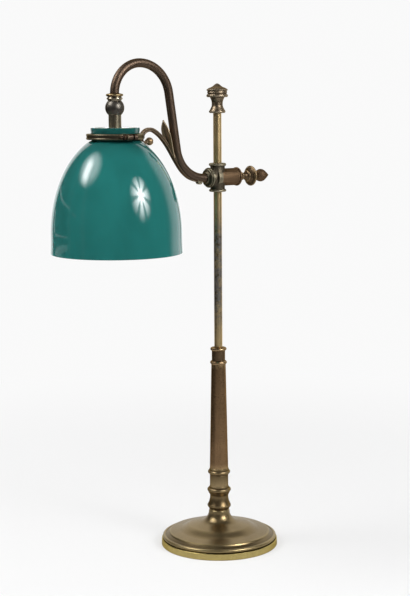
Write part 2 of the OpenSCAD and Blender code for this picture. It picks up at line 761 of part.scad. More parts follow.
module shade_ring() {
    color("peru") at_shade() difference() {
        union() {
            turned([
                [ring_bore_r, ring_low], [ring_r - 0.7, ring_low], [ring_r, ring_low + 0.7],
                [ring_r, ring_low + 1.6], [ring_r - 0.4, ring_low + 2.1],
                [ring_r - 0.4, ring_top - 2.1], [ring_r, ring_top - 1.6],
                [ring_r, ring_top - 0.6], [ring_r - 0.6, ring_top], [ring_bore_r, ring_top]
            ]);
            lug_bar(lug_r, lug_left, lug_right);
            translate([lug_left, -lug_y, ring_mid - lug_r + 0.3])
                cube([lug_right - lug_left, lug_y - ring_r + 2.4, 2 * lug_r - 0.6]);
        }
        rod_z(ring_bore_r, ring_low - cut, ring_top + cut);
        translate([split_x - split_w / 2, -lug_y - lug_r - cut, ring_low - cut])
            cube([split_w, lug_y + lug_r + cut, ring_h + 2 * cut]);
        lug_bar(ring_screw_r + run_fit, lug_left - cut, lug_right + cut);
    }
}

// A round bar along X through the ring's lugs
module lug_bar(r, from, to) {
    translate([from, -lug_y, ring_mid]) rotate([0, 90, 0]) cylinder(r = r, h = to - from);
}

// A turned piece on the ring screw's line, measured outwards from the lug's face
module turned_out(outline) {
    at_shade() translate([lug_left, -lug_y, ring_mid]) rotate([0, -90, 0]) turned(outline);
}

module ring_washer() {
    color("silver") turned_out([
        [ring_screw_r + run_fit, 0.05], [lug_r - 0.3, 0.05], [lug_r - 0.3, washer_t],
        [ring_screw_r + run_fit, washer_t]
    ]);
}

module ring_screw() {
    color("gray") turned_out([
        [0, -(lug_right - lug_left) - 1.4], [ring_screw_r - 0.4, -(lug_right - lug_left) - 1.4],
        [ring_screw_r, -(lug_right - lug_left) - 0.8], [ring_screw_r, washer_t + 4], [0, washer_t + 4]
    ]);
}

module ring_handle() {
    s = washer_t + 0.05;
    color("brown") turned_out(concat(
        [[ring_screw_r + seat_fit, s], [2.4, s], [2.9, s + 0.4], [2.9, s + 0.9], [2.1, s + 1.3]],
        arc([1.2, s + 3.4], 2, -65, 60, 6),
        [[1.7, s + 5.6], [1.6, s + 6.2]],
        arc([0.6, s + 7.8], 1.7, -55, 50, 5),
        [[0.8, s + handle_len - 0.2], [0, s + handle_len], [0, s + 4.1],
         [ring_screw_r + seat_fit, s + 4.1]]
    ));
}

// LAMPHOLDER

module neck_flange() {
    color("tan") at_shade() turned(concat(
        [[tube_r - tube_wall, tube_end_z - 0.4], [flange_r - 1.2, tube_end_z - 0.4]],
        arc([flange_r - 1.4, tube_end_z + 1.2], 1.4, -70, 80, 6),
        [[tube_r + 1.2, tube_end_z + flange_h - 0.3], [tube_r + seat_fit, tube_end_z + flange_h],
         [tube_r + seat_fit, tube_end_z - 0.05], [tube_r - tube_wall, tube_end_z - 0.05]]
    ));
}

module lock_ring() {
    z = tube_end_z - 0.45;
    color("gold") at_shade() turned(concat(
        [[tube_r - tube_wall, z - lock_h], [lock_r - 1.4, z - lock_h]],
        arc([lock_r - 1.3, z - lock_h / 2], 1.3, -80, 80, 6),
        [[lock_r - 1.4, z], [tube_r - tube_wall, z]]
    ));
}

module knuckle_ball() {
    color("dimgray") at_shade() difference() {
        translate([0, 0, ball_z]) sphere(ball_r);
        rod_z(ball_r, ball_top - 0.1, ball_top + 9);
        rod_z(ball_r, ball_low - 9, ball_low);
        rod_z(tube_r - tube_wall, ball_low - cut, ball_top + cut);
        rod_z(drop_r + seat_fit, ball_low - cut, ball_low + 5);
    }
}

module drop_tube() {
    color("tan") at_shade() difference() {
        rod_z(drop_r, holder_z - 4, ball_low + 4.95);
        rod_z(drop_bore_r, holder_z - 4 - cut, ball_low + 6);
    }
}

module holder_cap() {
    z = holder_z;
    wall = 1.1;
    color("gold") at_shade() turned([
        [drop_r + seat_fit, z], [drop_r + 1.6, z], [drop_r + 1.6, z - 5], [drop_r + 2.6, z - 6.4],
        [12.2, z - 9.2], [14, z - 12], [14.8, z - 15], [14.8, z - holder_cap_h],
        [14.8 - wall, z - holder_cap_h], [14.8 - wall, z - 15.2], [13, z - 12.6],
        [11.4, z - 10.2], [drop_r + 1.6, z - 7.4], [drop_bore_r, z - 7.4], [drop_bore_r, z - 4.1],
        [drop_r + seat_fit, z - 4.1]
    ]);
}

module holder_shell() {
    slot_top = pin_z + pin_slot / 2;
    foot = shell_r * sin(bayonet_turn) + pin_slot / 2;
    color("goldenrod") at_shade() difference() {
        turned([
            [shell_bore_r, shell_low], [shell_r, shell_low], [shell_r, shell_top],
            [shell_bore_r, shell_top]
        ]);
        for (a = [0, 180]) rotate([0, 0, a]) {
            translate([-pin_slot / 2, shell_bore_r - 2, shell_low - cut])
                cube([pin_slot, 5, slot_top - shell_low + cut]);
            translate([-pin_slot / 2, shell_bore_r - 2, pin_z - pin_slot / 2])
                cube([foot + pin_slot / 2, 5, pin_slot]);
        }
    }
}

module holder_skirt() {
    z = shell_top - 15;
    color("gold") at_shade() turned([
        [shell_r + seat_fit, z], [shell_r + 1.2, z], [shell_r + 1.2, z + 3], [shell_r + 5.4, z + 3.4],
        [shell_r + 5.4, z + 5], [shell_r + 1.4, z + 5.4], [shell_r + 1.4, z + 8.6],
        [shell_r + seat_fit, z + 8.6]
    ]);
}

module holder_insulator() {
    color("ivory") at_shade() difference() {
        rod_z(shell_bore_r - seat_fit, shell_top - insulator_h, shell_top);
        for (s = [-1, 1]) translate([s * plunger_x, 0, 0]) {
            rod_z(plunger_r + seat_fit, shell_top - insulator_h - cut, shell_top - 2);
            rod_z(1.3, shell_top - 3, shell_top + cut);
        }
    }
}

module contact_plungers() {
    color("gold") at_shade() for (s = [-1, 1]) translate([s * plunger_x, 0, 0])
        rod_z(plunger_r, bulb_top + 0.7, shell_top - 3);
}

module terminal_screws() {
    color("silver") at_shade() for (s = [-1, 1]) translate([s * plunger_x, 0, 0]) {
        rod_z(1.25, shell_top - 1.9, shell_top);
        rod_z(2.2, shell_top + 0.02, shell_top + 1.5);
    }
}

// BULB

module bulb_cap() {
    color("silver") at_shade() union() {
        turned([
            [0, bulb_top - 1.4], [bulb_cap_r, bulb_top - 2], [bulb_cap_r, cap_low + 0.4],
            [bulb_cap_r - cap_wall, cap_low], [bulb_cap_r - cap_wall, bulb_top - 2.6],
            [0, bulb_top - 2.4]
        ]);
        for (s = [-1, 1])
            translate([s * plunger_x, 0, 0]) rod_z(1.6, bulb_top - 2, bulb_top + 0.65);
        for (a = [0, 180]) rotate([0, 0, a - bayonet_turn])
            translate([0, bulb_cap_r - 0.6, pin_z]) rotate([-90, 0, 0]) cylinder(r = 1, h = 2.4);
    }
}

module bulb_glass() {
    c = bulb_top - bulb_len + bulb_r;
    neck = bulb_cap_r - cap_wall - seat_fit;
    meet = 48;
    color("white") at_shade() turned(concat(
        reversed(arc([0, c], bulb_r, -90, meet, 18)),
        [[0, c - bulb_r + 0.6]],
        arc([0, c], bulb_r - 0.6, -90, meet, 18),
        [[neck - 0.6, cap_low - 0.4], [neck - 0.6, bulb_top - 6], [neck, bulb_top - 6],
         [neck, cap_low - 0.1]]
    ));
}

// SHADE

// Half outline of the glass at an inset d from its outer face, from the rim down to the mouth
function glass_side(d) = concat(
    [[lip_r - d, rim_z], [lip_r - d, rim_z - 2.2], [lip_r - 0.5 - d, ring_top + 0.1]],
    [[neck_r - d, ring_top + 0.1 - d * 0.5], [neck_r - d, shoulder_z + 1 - d],
     [neck_r + 1.2 - d, shoulder_z - d], [neck_r + 4 - d * 0.8, shoulder_z - 1.1 - d],
     [neck_r + 6.8 - d * 0.7, shoulder_z - 2.8 - d]],
    [for (i = [0:24])
        let (a = acos((neck_r + shoulder_run) / shade_r) * (1 - i / 24))
            [(shade_r - d) * cos(a), belly_z + (dome_h - d) * sin(a)]],
    [[mouth_r - d, mouth_z]]
);

module shade_casing() {
    color("teal") at_shade() turned(concat(glass_side(0), reversed(glass_side(casing_t))));
}

module shade_lining() {
    inner = casing_t + glass_gap;
    color("white") at_shade() turned(concat(glass_side(inner), reversed(glass_side(inner + lining_t))));
}

base_felt();
base_band();
base_dome();
base_weight();
base_washer();
base_nut();
tie_rod();
column_knop();
column_collar();
column_tube();
column_cap();
stem_rod();
rod_plug();
finial();
friction_liner();
slider_sleeve();
clamp_barrel();
barrel_ring();
arm_cup();
swan_neck();
leaf_bracket();
shade_ring();
neck_flange();
lock_ring();
knuckle_ball();
drop_tube();
holder_cap();
holder_shell();
holder_skirt();
holder_insulator();
contact_plungers();
terminal_screws();
bulb_cap();
bulb_glass();
shade_casing();
shade_lining();
clamp_shoe();
clamp_screw();
clamp_knob();
clamp_acorn();
ring_washer();
ring_screw();
ring_handle();
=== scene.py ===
"""An adjustable desk lamp in aged brass with a green cased-glass shade.

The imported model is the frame. Every piece that shows is turned, swept or carved here at the frame's own
places, wears a procedural finish, and rides on the body that carries it. Outlines are in millimetres.
"""

from __future__ import annotations

import json
import logging
import math
from dataclasses import dataclass, field
from enum import Enum
from typing import Any, Callable, Sequence

import bmesh
import bpy
import numpy as np
from mathutils import Matrix, Vector

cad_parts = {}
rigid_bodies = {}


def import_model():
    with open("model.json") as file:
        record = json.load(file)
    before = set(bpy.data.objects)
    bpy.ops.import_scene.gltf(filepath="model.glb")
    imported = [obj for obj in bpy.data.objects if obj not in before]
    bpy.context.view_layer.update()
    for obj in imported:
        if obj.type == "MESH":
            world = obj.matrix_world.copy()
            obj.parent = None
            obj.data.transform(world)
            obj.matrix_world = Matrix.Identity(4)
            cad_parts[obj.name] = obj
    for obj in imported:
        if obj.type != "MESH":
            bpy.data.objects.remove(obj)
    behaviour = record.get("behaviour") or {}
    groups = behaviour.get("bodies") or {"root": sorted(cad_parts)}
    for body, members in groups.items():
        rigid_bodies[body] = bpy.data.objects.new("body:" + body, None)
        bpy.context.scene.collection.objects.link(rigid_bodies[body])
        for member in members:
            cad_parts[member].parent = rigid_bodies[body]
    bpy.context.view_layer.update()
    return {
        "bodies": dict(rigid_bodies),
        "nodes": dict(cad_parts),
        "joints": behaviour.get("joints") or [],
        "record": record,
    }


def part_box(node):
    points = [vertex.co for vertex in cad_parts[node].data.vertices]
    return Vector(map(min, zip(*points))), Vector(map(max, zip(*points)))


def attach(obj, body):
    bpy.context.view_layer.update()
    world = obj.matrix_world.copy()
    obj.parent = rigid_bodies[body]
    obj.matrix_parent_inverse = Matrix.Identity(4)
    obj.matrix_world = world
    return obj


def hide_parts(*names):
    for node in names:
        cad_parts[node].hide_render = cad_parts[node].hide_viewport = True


MM = 0.001
LOG = logging.getLogger("desk_lamp")

Point = tuple[float, float]
Colour = tuple[float, float, float]


class Axis(Enum):
    """The line about which a piece is turned, and the way that its outline's heights run."""

    UP = "up"
    OUT = "out"
    BACK = "back"


class Carve(Enum):
    """What a second solid does to the first."""

    JOIN = "UNION"
    CUT = "DIFFERENCE"


@dataclass(frozen=True)
class Span:
    """The corners of a node of the frame, in millimetres."""

    low: Vector
    high: Vector

    @classmethod
    def of(cls, node: str) -> "Span":
        """Reads a node's corners from the frame."""
        low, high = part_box(node)
        return cls(low / MM, high / MM)

    @property
    def middle(self) -> Vector:
        """The middle of the box."""
        return (self.low + self.high) / 2

    @property
    def radius(self) -> float:
        """Half the box's depth, which is a turned piece's radius."""
        return (self.high.y - self.low.y) / 2


def arc(centre: Point, radius: float, start: float, end: float, steps: int = 8) -> list[Point]:
    """Points along an arc.

    Args:
        centre: The arc's centre.
        radius: Its radius.
        start: The angle of its first point, in degrees.
        end: The angle of its last point, in degrees.
        steps: How many stretches it has.

    Returns:
        The points, from start to end.
    """
    angles = (math.radians(start + (end - start) * i / steps) for i in range(steps + 1))
    return [(centre[0] + radius * math.cos(a), centre[1] + radius * math.sin(a)) for a in angles]


def bezier(p: Point, q: Point, r: Point, s: Point, steps: int = 12) -> list[Point]:
    """Points along a cubic curve.

    Args:
        p: Where it starts.
        q: The point that it leaves towards.
        r: The point that it arrives from.
        s: Where it ends.
        steps: How many stretches it has.

    Returns:
        The points, from p to s.
    """
    line = []
    for i in range(steps + 1):
        t = i / steps
        u = 1 - t
        weights = (u * u * u, 3 * u * u * t, 3 * u * t * t, t * t * t)
        line.append(tuple(sum(w * c[k] for w, c in zip(weights, (p, q, r, s))) for k in (0, 1)))
    return line


def ease(t: float) -> float:
    """A smooth step from 0 to 1."""
    return (1 - math.cos(math.pi * min(1.0, max(0.0, t)))) / 2


def shifted(line: Sequence[Point], rise: float) -> list[Point]:
    """The same outline, higher by rise."""
    return [(r, z + rise) for r, z in line]


def soften(line: Sequence[Point], radius: float, closed: bool) -> list[Point]:
    """Rounds the sharp corners of an outline, as a lathe tool and years of handling leave them.

    Args:
        line: The outline's points.
        radius: The radius of the rounding, which shrinks where the corner has no room for it.
        closed: Whether the last point joins the first.

    Returns:
        The outline with a short curve at each corner.
    """
    bend_floor, curve_steps = math.radians(16), 4
    soft: list[Point] = []
    for i, point in enumerate(line):
        at_end = not closed and i in (0, len(line) - 1)
        here = Vector(point)
        back = Vector(line[i - 1]) - here
        ahead = Vector(line[(i + 1) % len(line)]) - here
        if at_end or back.length < 1e-6 or ahead.length < 1e-6 or abs(point[0]) < 1e-6:
            soft.append(point)
            continue
        bend = math.pi - back.angle(ahead)
        if bend < bend_floor:
            soft.append(point)
            continue
        reach = min(radius * math.tan(min(bend, 3.0) / 2), 0.4 * back.length, 0.4 * ahead.length)
        first, last = here + back.normalized() * reach, here + ahead.normalized() * reach
        for k in range(curve_steps + 1):
            t = k / curve_steps
            spot = first * (1 - t) ** 2 + here * 2 * t * (1 - t) + last * t**2
            soft.append((spot.x, spot.y))
    return soft


def edge_measures(line: Sequence[Point], closed: bool) -> tuple[np.ndarray, np.ndarray, np.ndarray]:
    """Measures where an outline is proud, where it is hollow, and how far along it each point lies.

    Args:
        line: The outline's points.
        closed: Whether the last point joins the first.

    Returns:
        For each point, how proud it stands and how hollow it lies, from 0 to 1, and its distance along.
    """
    points = np.array(line, float)
    ahead = np.roll(points, -1, 0) - points
    length = np.hypot(*ahead.T)
    if not closed:
        length[-1] = 0
    run = np.concatenate([[0], np.cumsum(length)[:-1]])
    area = 0.5 * np.sum(points[:, 0] * np.roll(points[:, 1], -1) - np.roll(points[:, 0], -1) * points[:, 1])
    heading = np.arctan2(ahead[:, 1], ahead[:, 0])
    bend = (heading - np.roll(heading, 1) + math.pi) % (2 * math.pi) - math.pi
    if not closed:
        bend[0] = bend[-1] = 0
    bend *= math.copysign(1, area)
    reach = 0.9
    weight = np.exp(-(((run[:, None] - run[None, :]) / reach) ** 2))
    curl = weight @ bend / math.radians(70)
    return np.clip(curl, 0, 1), np.clip(-curl, 0, 1), run


def matrix_of(axis: Axis, centre: Vector) -> Matrix:
    """The matrix that takes an outline turned about Z to its own axis, in metres.

    Args:
        axis: The line about which the piece is turned.
        centre: Where its outline's zero height lies, in millimetres.

    Returns:
        The matrix, with the change from millimetres to metres in it.
    """
    turn = {
        Axis.UP: Matrix.Identity(4),
        Axis.OUT: Matrix.Rotation(math.pi / 2, 4, "Y"),
        Axis.BACK: Matrix.Rotation(-math.pi / 2, 4, "Y"),
    }[axis]
    return Matrix.Scale(MM, 4) @ Matrix.Translation(centre) @ turn


def settle_normals(mesh: bpy.types.Mesh) -> None:
    """Gives a mesh smooth normals that follow its large faces, so that narrow roundings catch the light."""
    corners = np.zeros(len(mesh.loops), np.int32)
    mesh.loops.foreach_get("vertex_index", corners)
    totals, areas = np.zeros(len(mesh.polygons), np.int32), np.zeros(len(mesh.polygons))
    faces = np.zeros(len(mesh.polygons) * 3)
    mesh.polygons.foreach_get("loop_total", totals)
    mesh.polygons.foreach_get("area", areas)
    mesh.polygons.foreach_get("normal", faces)
    pull = np.repeat(faces.reshape(-1, 3) * areas[:, None], totals, 0)
    normals = np.zeros((len(mesh.vertices), 3))
    np.add.at(normals, corners, pull)
    normals /= np.maximum(np.linalg.norm(normals, axis=1, keepdims=True), 1e-12)
    mesh.shade_smooth()
    mesh.normals_split_custom_set_from_vertices([tuple(n) for n in normals])


def add_measure(mesh: bpy.types.Mesh, name: str, values: np.ndarray) -> None:
    """Stores one number a vertex on a mesh, for its finish to read."""
    layer = mesh.attributes.new(name, "FLOAT", "POINT")
    layer.data.foreach_set("value", np.asarray(values, np.float32))


def new_object(name: str, mesh: bpy.types.Mesh) -> bpy.types.Object:
    """Puts a mesh into the scene as an object."""
    made = bpy.data.objects.new(name, mesh)
    bpy.context.scene.collection.objects.link(made)
    return made


def turned(
    name: str,
    line: Sequence[Point],
    axis: Axis = Axis.UP,
    centre: Vector = Vector((0, 0, 0)),
    closed: bool = True,
    steps: int = 96,
    edge: float = 0.3,
    wobble: Callable[[float, float, float], float] | None = None,
) -> bpy.types.Object:
    """Turns an outline about its axis.

    Args:
        name: The object's name.
        line: The outline as (radius, height) points.
        axis: The line about which it is turned.
        centre: Where its zero height lies.
        closed: Whether the last point joins the first.
        steps: How many faces go round.
        edge: The radius of its softened corners.
        wobble: Gives a small change of radius from radius, height and angle, for spun or blown work.

    Returns:
        The turned object.
    """
    soft = soften(line, edge, closed)
    proud, hollow, run = edge_measures(soft, closed)
    verts: list[tuple[float, float, float]] = []
    rings: list[list[int]] = []
    marks: list[tuple[float, float, float]] = []
    for i, (radius, height) in enumerate(soft):
        count = 1 if radius < 1e-6 else steps
        rings.append([len(verts) + k for k in range(count)])
        for k in range(count):
            angle = 2 * math.pi * k / steps
            here = radius + (wobble(radius, height, angle) if wobble else 0.0)
            verts.append((here * math.cos(angle), here * math.sin(angle), height))
            marks.append((proud[i], hollow[i], run[i]))
    faces = []
    pairs = list(zip(rings, rings[1:])) + ([(rings[-1], rings[0])] if closed else [])
    for a, b in pairs:
        for k in range(steps):
            n = (k + 1) % steps
            corners = [a[k % len(a)], a[n % len(a)], b[n % len(b)], b[k % len(b)]]
            face = [c for j, c in enumerate(corners) if c not in corners[:j]]
            if len(face) > 2:
                faces.append(face)
    mesh = bpy.data.meshes.new(name)
    mesh.from_pydata(verts, [], faces)
    for layer, values in zip(("proud", "hollow", "run"), np.array(marks).T):
        add_measure(mesh, layer, values)
    finish_mesh(mesh)
    mesh.transform(matrix_of(axis, centre))
    settle_normals(mesh)
    return new_object(name, mesh)


def finish_mesh(mesh: bpy.types.Mesh) -> None:
    """Turns a closed mesh's faces outwards and drops what lies twice."""
    work = bmesh.new()
    work.from_mesh(mesh)
    bmesh.ops.remove_doubles(work, verts=work.verts, dist=1e-5)
    bmesh.ops.recalc_face_normals(work, faces=work.faces)
    work.to_mesh(mesh)
    work.free()


def carved(base: bpy.types.Object, steps: Sequence[tuple[bpy.types.Object, Carve]]) -> bpy.types.Object:
    """Joins other solids to an object or cuts them out of it, and removes them.

    Args:
        base: The object that stays.
        steps: The other solids in order, each with what it does.

    Returns:
        The base object with its new mesh.
    """
    for other, how in steps:
        tool = base.modifiers.new(other.name, "BOOLEAN")
        tool.operation, tool.solver, tool.object = how.value, "EXACT", other
    bpy.context.view_layer.update()
    shaped = bpy.data.meshes.new_from_object(base.evaluated_get(bpy.context.evaluated_depsgraph_get()))
    base.modifiers.clear()
    base.data = shaped
    for other, _ in steps:
        bpy.data.objects.remove(other)
    return base


def bevelled(piece: bpy.types.Object, width: float, angle: float = 40, segments: int = 2) -> bpy.types.Object:
    """Rounds an object's sharp edges and sets its normals.

    Args:
        piece: The object.
        width: The width of the rounding, in millimetres.
        angle: The least angle between two faces that gets it, in degrees.
        segments: How many strips the rounding has.

    Returns:
        The object with its new mesh.
    """
    tool = piece.modifiers.new("edge", "BEVEL")
    tool.width, tool.segments, tool.limit_method = width * MM, segments, "ANGLE"
    tool.angle_limit, tool.use_clamp_overlap, tool.harden_normals = math.radians(angle), True, False
    bpy.context.view_layer.update()
    shaped = bpy.data.meshes.new_from_object(piece.evaluated_get(bpy.context.evaluated_depsgraph_get()))
    piece.modifiers.clear()
    piece.data = shaped
    settle_normals(shaped)
    return piece


def swept(
    name: str,
    line: Sequence[Point],
    section: Callable[[int, float], Sequence[Point]],
    shade_and_dirt: Callable[[float, float], float] | None = None,
) -> bpy.types.Object:
    """Sweeps a section along a line in the arm's plane.

    Args:
        name: The object's name.
        line: The line as (x, z) points in millimetres.
        section: Gives the section's (across, out) points from the point's number and its share of the way.
        shade_and_dirt: Gives how hollow a point of the section lies, from 0 to 1, from its across and out; the finish
            paints shade and grime into hollow points.

    Returns:
        The swept object, closed at both ends.
    """
    points = [Vector(p) for p in line]
    run = 0.0
    verts, rows, marks = [], [], []
    for i, point in enumerate(points):
        way = (points[min(i + 1, len(points) - 1)] - points[max(i - 1, 0)]).normalized()
        out = Vector((-way.y, way.x))
        if i:
            run += (point - points[i - 1]).length
        ring = section(i, i / (len(points) - 1))
        rows.append([len(verts) + k for k in range(len(ring))])
        for across, rise in ring:
            spot = point + out * rise
            verts.append((spot.x, across, spot.y))
            marks.append((run, shade_and_dirt(across, rise) if shade_and_dirt else 0.0))
    count = len(rows[0])
    faces = [
        [a[k], a[(k + 1) % count], b[(k + 1) % count], b[k]]
        for a, b in zip(rows, rows[1:])
        for k in range(count)
    ]
    faces += [rows[0], rows[-1]]
    mesh = bpy.data.meshes.new(name)
    mesh.from_pydata(verts, [], faces)
    for layer, values in zip(("run", "hollow"), np.array(marks).T):
        add_measure(mesh, layer, values)
    finish_mesh(mesh)
    mesh.transform(Matrix.Scale(MM, 4))
    settle_normals(mesh)
    return new_object(name, mesh)


class Graph:
    """A shader tree that is wired with short calls."""

    def __init__(self, tree: bpy.types.NodeTree) -> None:
        """Starts on an empty tree."""
        self.tree = tree
        tree.nodes.clear()

    def add(self, kind: str, inputs: dict[Any, Any] | None = None, **settings: Any) -> bpy.types.Node:
        """Adds a node.

        Args:
            kind: Its type.
            inputs: Its inputs by name or number, each a value or a socket to link.
            settings: Its properties.

        Returns:
            The node.
        """
        node = self.tree.nodes.new(kind)
        for key, value in settings.items():
            setattr(node, key, value)
        for key, value in (inputs or {}).items():
            if isinstance(value, bpy.types.NodeSocket):
                self.tree.links.new(value, node.inputs[key])
            else:
                node.inputs[key].default_value = value
        return node

    def place(self) -> bpy.types.NodeSocket:
        """The piece's own coordinates."""
        return self.add("ShaderNodeTexCoord").outputs["Object"]

    def measure(self, name: str) -> bpy.types.NodeSocket:
        """A number that is stored on the mesh."""
        return self.add("ShaderNodeAttribute", attribute_name=name).outputs["Fac"]

    def noise(
        self, place: bpy.types.NodeSocket, scale: float, detail: float = 4.0, rough: float = 0.55, warp: float = 0.0
    ) -> bpy.types.NodeSocket:
        """Cloudy noise.

        Args:
            place: The coordinates.
            scale: How many features it has a metre.
            detail: How many finer layers it has.
            rough: How strong the finer layers are.
            warp: How far it is bent by itself.

        Returns:
            A value about 0.5.
        """
        values = {"Vector": place, "Scale": scale, "Detail": detail, "Roughness": rough, "Distortion": warp}
        return self.add("ShaderNodeTexNoise", values).outputs["Fac"]

    def lines(self, scale: float) -> bpy.types.NodeSocket:
        """Fine lines that run round a turned piece, from the distance along its outline."""
        inputs = {"W": self.measure("run"), "Scale": scale, "Detail": 3.0, "Roughness": 0.7}
        return self.add("ShaderNodeTexNoise", inputs, noise_dimensions="1D").outputs["Fac"]

    def ramp(self, value: Any, low: float, high: float, start: float = 0.0, end: float = 1.0) -> bpy.types.NodeSocket:
        """Maps low..high smoothly to start..end."""
        inputs = {"Value": value, "From Min": low, "From Max": high, "To Min": start, "To Max": end}
        return self.add("ShaderNodeMapRange", inputs, interpolation_type="SMOOTHSTEP").outputs["Result"]

    def math(self, how: str, a: Any, b: Any = 0.0) -> bpy.types.NodeSocket:
        """One sum."""
        return self.add("ShaderNodeMath", {0: a, 1: b}, operation=how).outputs["Value"]

    def tint(self, share: Any, under: Any, over: Any) -> bpy.types.NodeSocket:
        """Mixes two colours."""
        values = {
            "Factor": share,
            6: (*under, 1.0) if isinstance(under, tuple) else under,
            7: (*over, 1.0) if isinstance(over, tuple) else over,
        }
        return self.add("ShaderNodeMix", values, data_type="RGBA").outputs[2]

    def hollow(self, reach: float) -> bpy.types.NodeSocket:
        """How closed in by nearby surfaces a place is, from 0 in the open to 1 in a deep corner; the finishes darken
        their colour by this ambient occlusion, which paints shade.
        """
        shade = self.add("ShaderNodeAmbientOcclusion", {"Distance": reach * MM}, samples=8)
        return self.math("SUBTRACT", 1.0, shade.outputs["AO"])


def new_material(name: str) -> tuple[bpy.types.Material, Graph]:
    """Makes a material with an empty shader tree."""
    made = bpy.data.materials.new(name)
    made.use_nodes = True
    return made, Graph(made.node_tree)


def close_shader(graph: Graph, inputs: dict[str, Any]) -> None:
    """Ends a tree with a principled surface that has these inputs."""
    surface = graph.add("ShaderNodeBsdfPrincipled", inputs)
    graph.add("ShaderNodeOutputMaterial", {"Surface": surface.outputs["BSDF"]})


@dataclass(frozen=True)
class AgedMetal:
    """Brass that has darkened, with rubbed edges, grime and painted shade in its corners, and verdigris at its joints.
    """

    name: str
    face: Colour
    deep: Colour
    rubbed: Colour
    bloom: Colour = (0.11, 0.13, 0.09)
    rim: Colour = (0.40, 0.36, 0.30)
    roughness: tuple[float, float] = (0.30, 0.42)
    cloud: float = 34.0
    wear: float = 0.7
    # How far hollows and corners go towards deep: painted shade mixed with grime.
    dirt_and_shade: float = 0.8
    green: float = 0.25
    spots: float = 0.2
    grain: float = 1.4
    bump: float = 0.12
    tarnish: Colour | None = None

    def tarnished(self, g: Graph, place: bpy.types.NodeSocket, tone: Any) -> bpy.types.NodeSocket:
        """Lays grey tarnish with brown blotches over a tone, where the mesh's measure asks for it.

        Args:
            g: The shader tree.
            place: The piece's coordinates.
            tone: The colour beneath.

        Returns:
            The colour with the tarnish.
        """
        reach = g.measure("tarnish")
        film = g.math("MULTIPLY", reach, g.ramp(g.noise(place, 70.0, 6.0, 0.7), 0.36, 0.58, 0.25, 1.0))
        tone = g.tint(film, tone, self.tarnish)
        blotch = g.math("MULTIPLY", reach, g.ramp(g.noise(place, 230.0, 5.0, 0.65), 0.53, 0.62))
        tone = g.tint(g.math("MULTIPLY", blotch, 0.75), tone, tuple(0.35 * c for c in self.deep))
        fleck = g.math("MULTIPLY", reach, g.ramp(g.noise(place, 420.0, 3.0, 0.6), 0.62, 0.70))
        return g.tint(fleck, tone, self.rubbed)

    def build(self) -> bpy.types.Material:
        """Makes the material."""
        made, g = new_material(self.name)
        place = g.place()
        cloud = g.ramp(g.noise(place, self.cloud, 4.0, 0.5, 0.3), 0.3, 0.7)
        fine = g.noise(place, self.cloud * 14, 4.0, 0.6)
        lines = g.lines(self.grain)
        tone = g.tint(g.math("MULTIPLY", cloud, 0.7), self.face, tuple((a + b) / 2 for a, b in zip(self.face, self.deep)))
        proud = g.math("MULTIPLY", g.measure("proud"), g.ramp(fine, 0.25, 0.6, 0.5, 1.0))
        tone = g.tint(g.math("MULTIPLY", proud, self.wear), tone, self.rubbed)
        # Painted shade with grime: the colour goes towards deep in the outline's hollows and where ambient occlusion
        # finds corners.
        shade_and_dirt = g.math("MAXIMUM", g.measure("hollow"), g.ramp(g.hollow(3.5), 0.25, 0.8))
        tone = g.tint(g.math("MULTIPLY", shade_and_dirt, self.dirt_and_shade), tone, self.deep)
        damp = g.math("MULTIPLY", g.ramp(g.noise(place, self.cloud * 3.2, 6.0, 0.7), 0.50, 0.68), shade_and_dirt)
        stray = g.math("MULTIPLY", g.ramp(g.noise(place, self.cloud * 5, 7.0, 0.75), 0.64, 0.76), 0.25)
        crust = g.math("MULTIPLY", g.math("MAXIMUM", damp, stray), self.green)
        tone = g.tint(crust, tone, self.bloom)
        speck = g.ramp(g.noise(place, self.cloud * 20, 3.0, 0.6), 0.66, 0.76)
        tone = g.tint(g.math("MULTIPLY", speck, self.spots), tone, tuple(0.4 * c for c in self.deep))
        if self.tarnish:
            tone = self.tarnished(g, place, tone)
        low, high = self.roughness
        skin = g.math("ADD", g.math("MULTIPLY", fine, 0.6), g.math("MULTIPLY", lines, 0.4))
        dull = g.math("ADD", g.ramp(skin, 0.35, 0.65, low, high), g.math("MULTIPLY", crust, 0.25))
        height = g.math("ADD", skin, g.math("MULTIPLY", g.math("MAXIMUM", speck, crust), -0.4))
        bump = g.add("ShaderNodeBump", {"Height": height, "Strength": self.bump, "Distance": 0.00012})
        close_shader(
            g,
            {
                "Base Color": tone,
                "Metallic": 1.0,
                "Roughness": dull,
                "Specular Tint": (*self.rim, 1.0),
                "Normal": bump.outputs["Normal"],
            },
        )
        return made


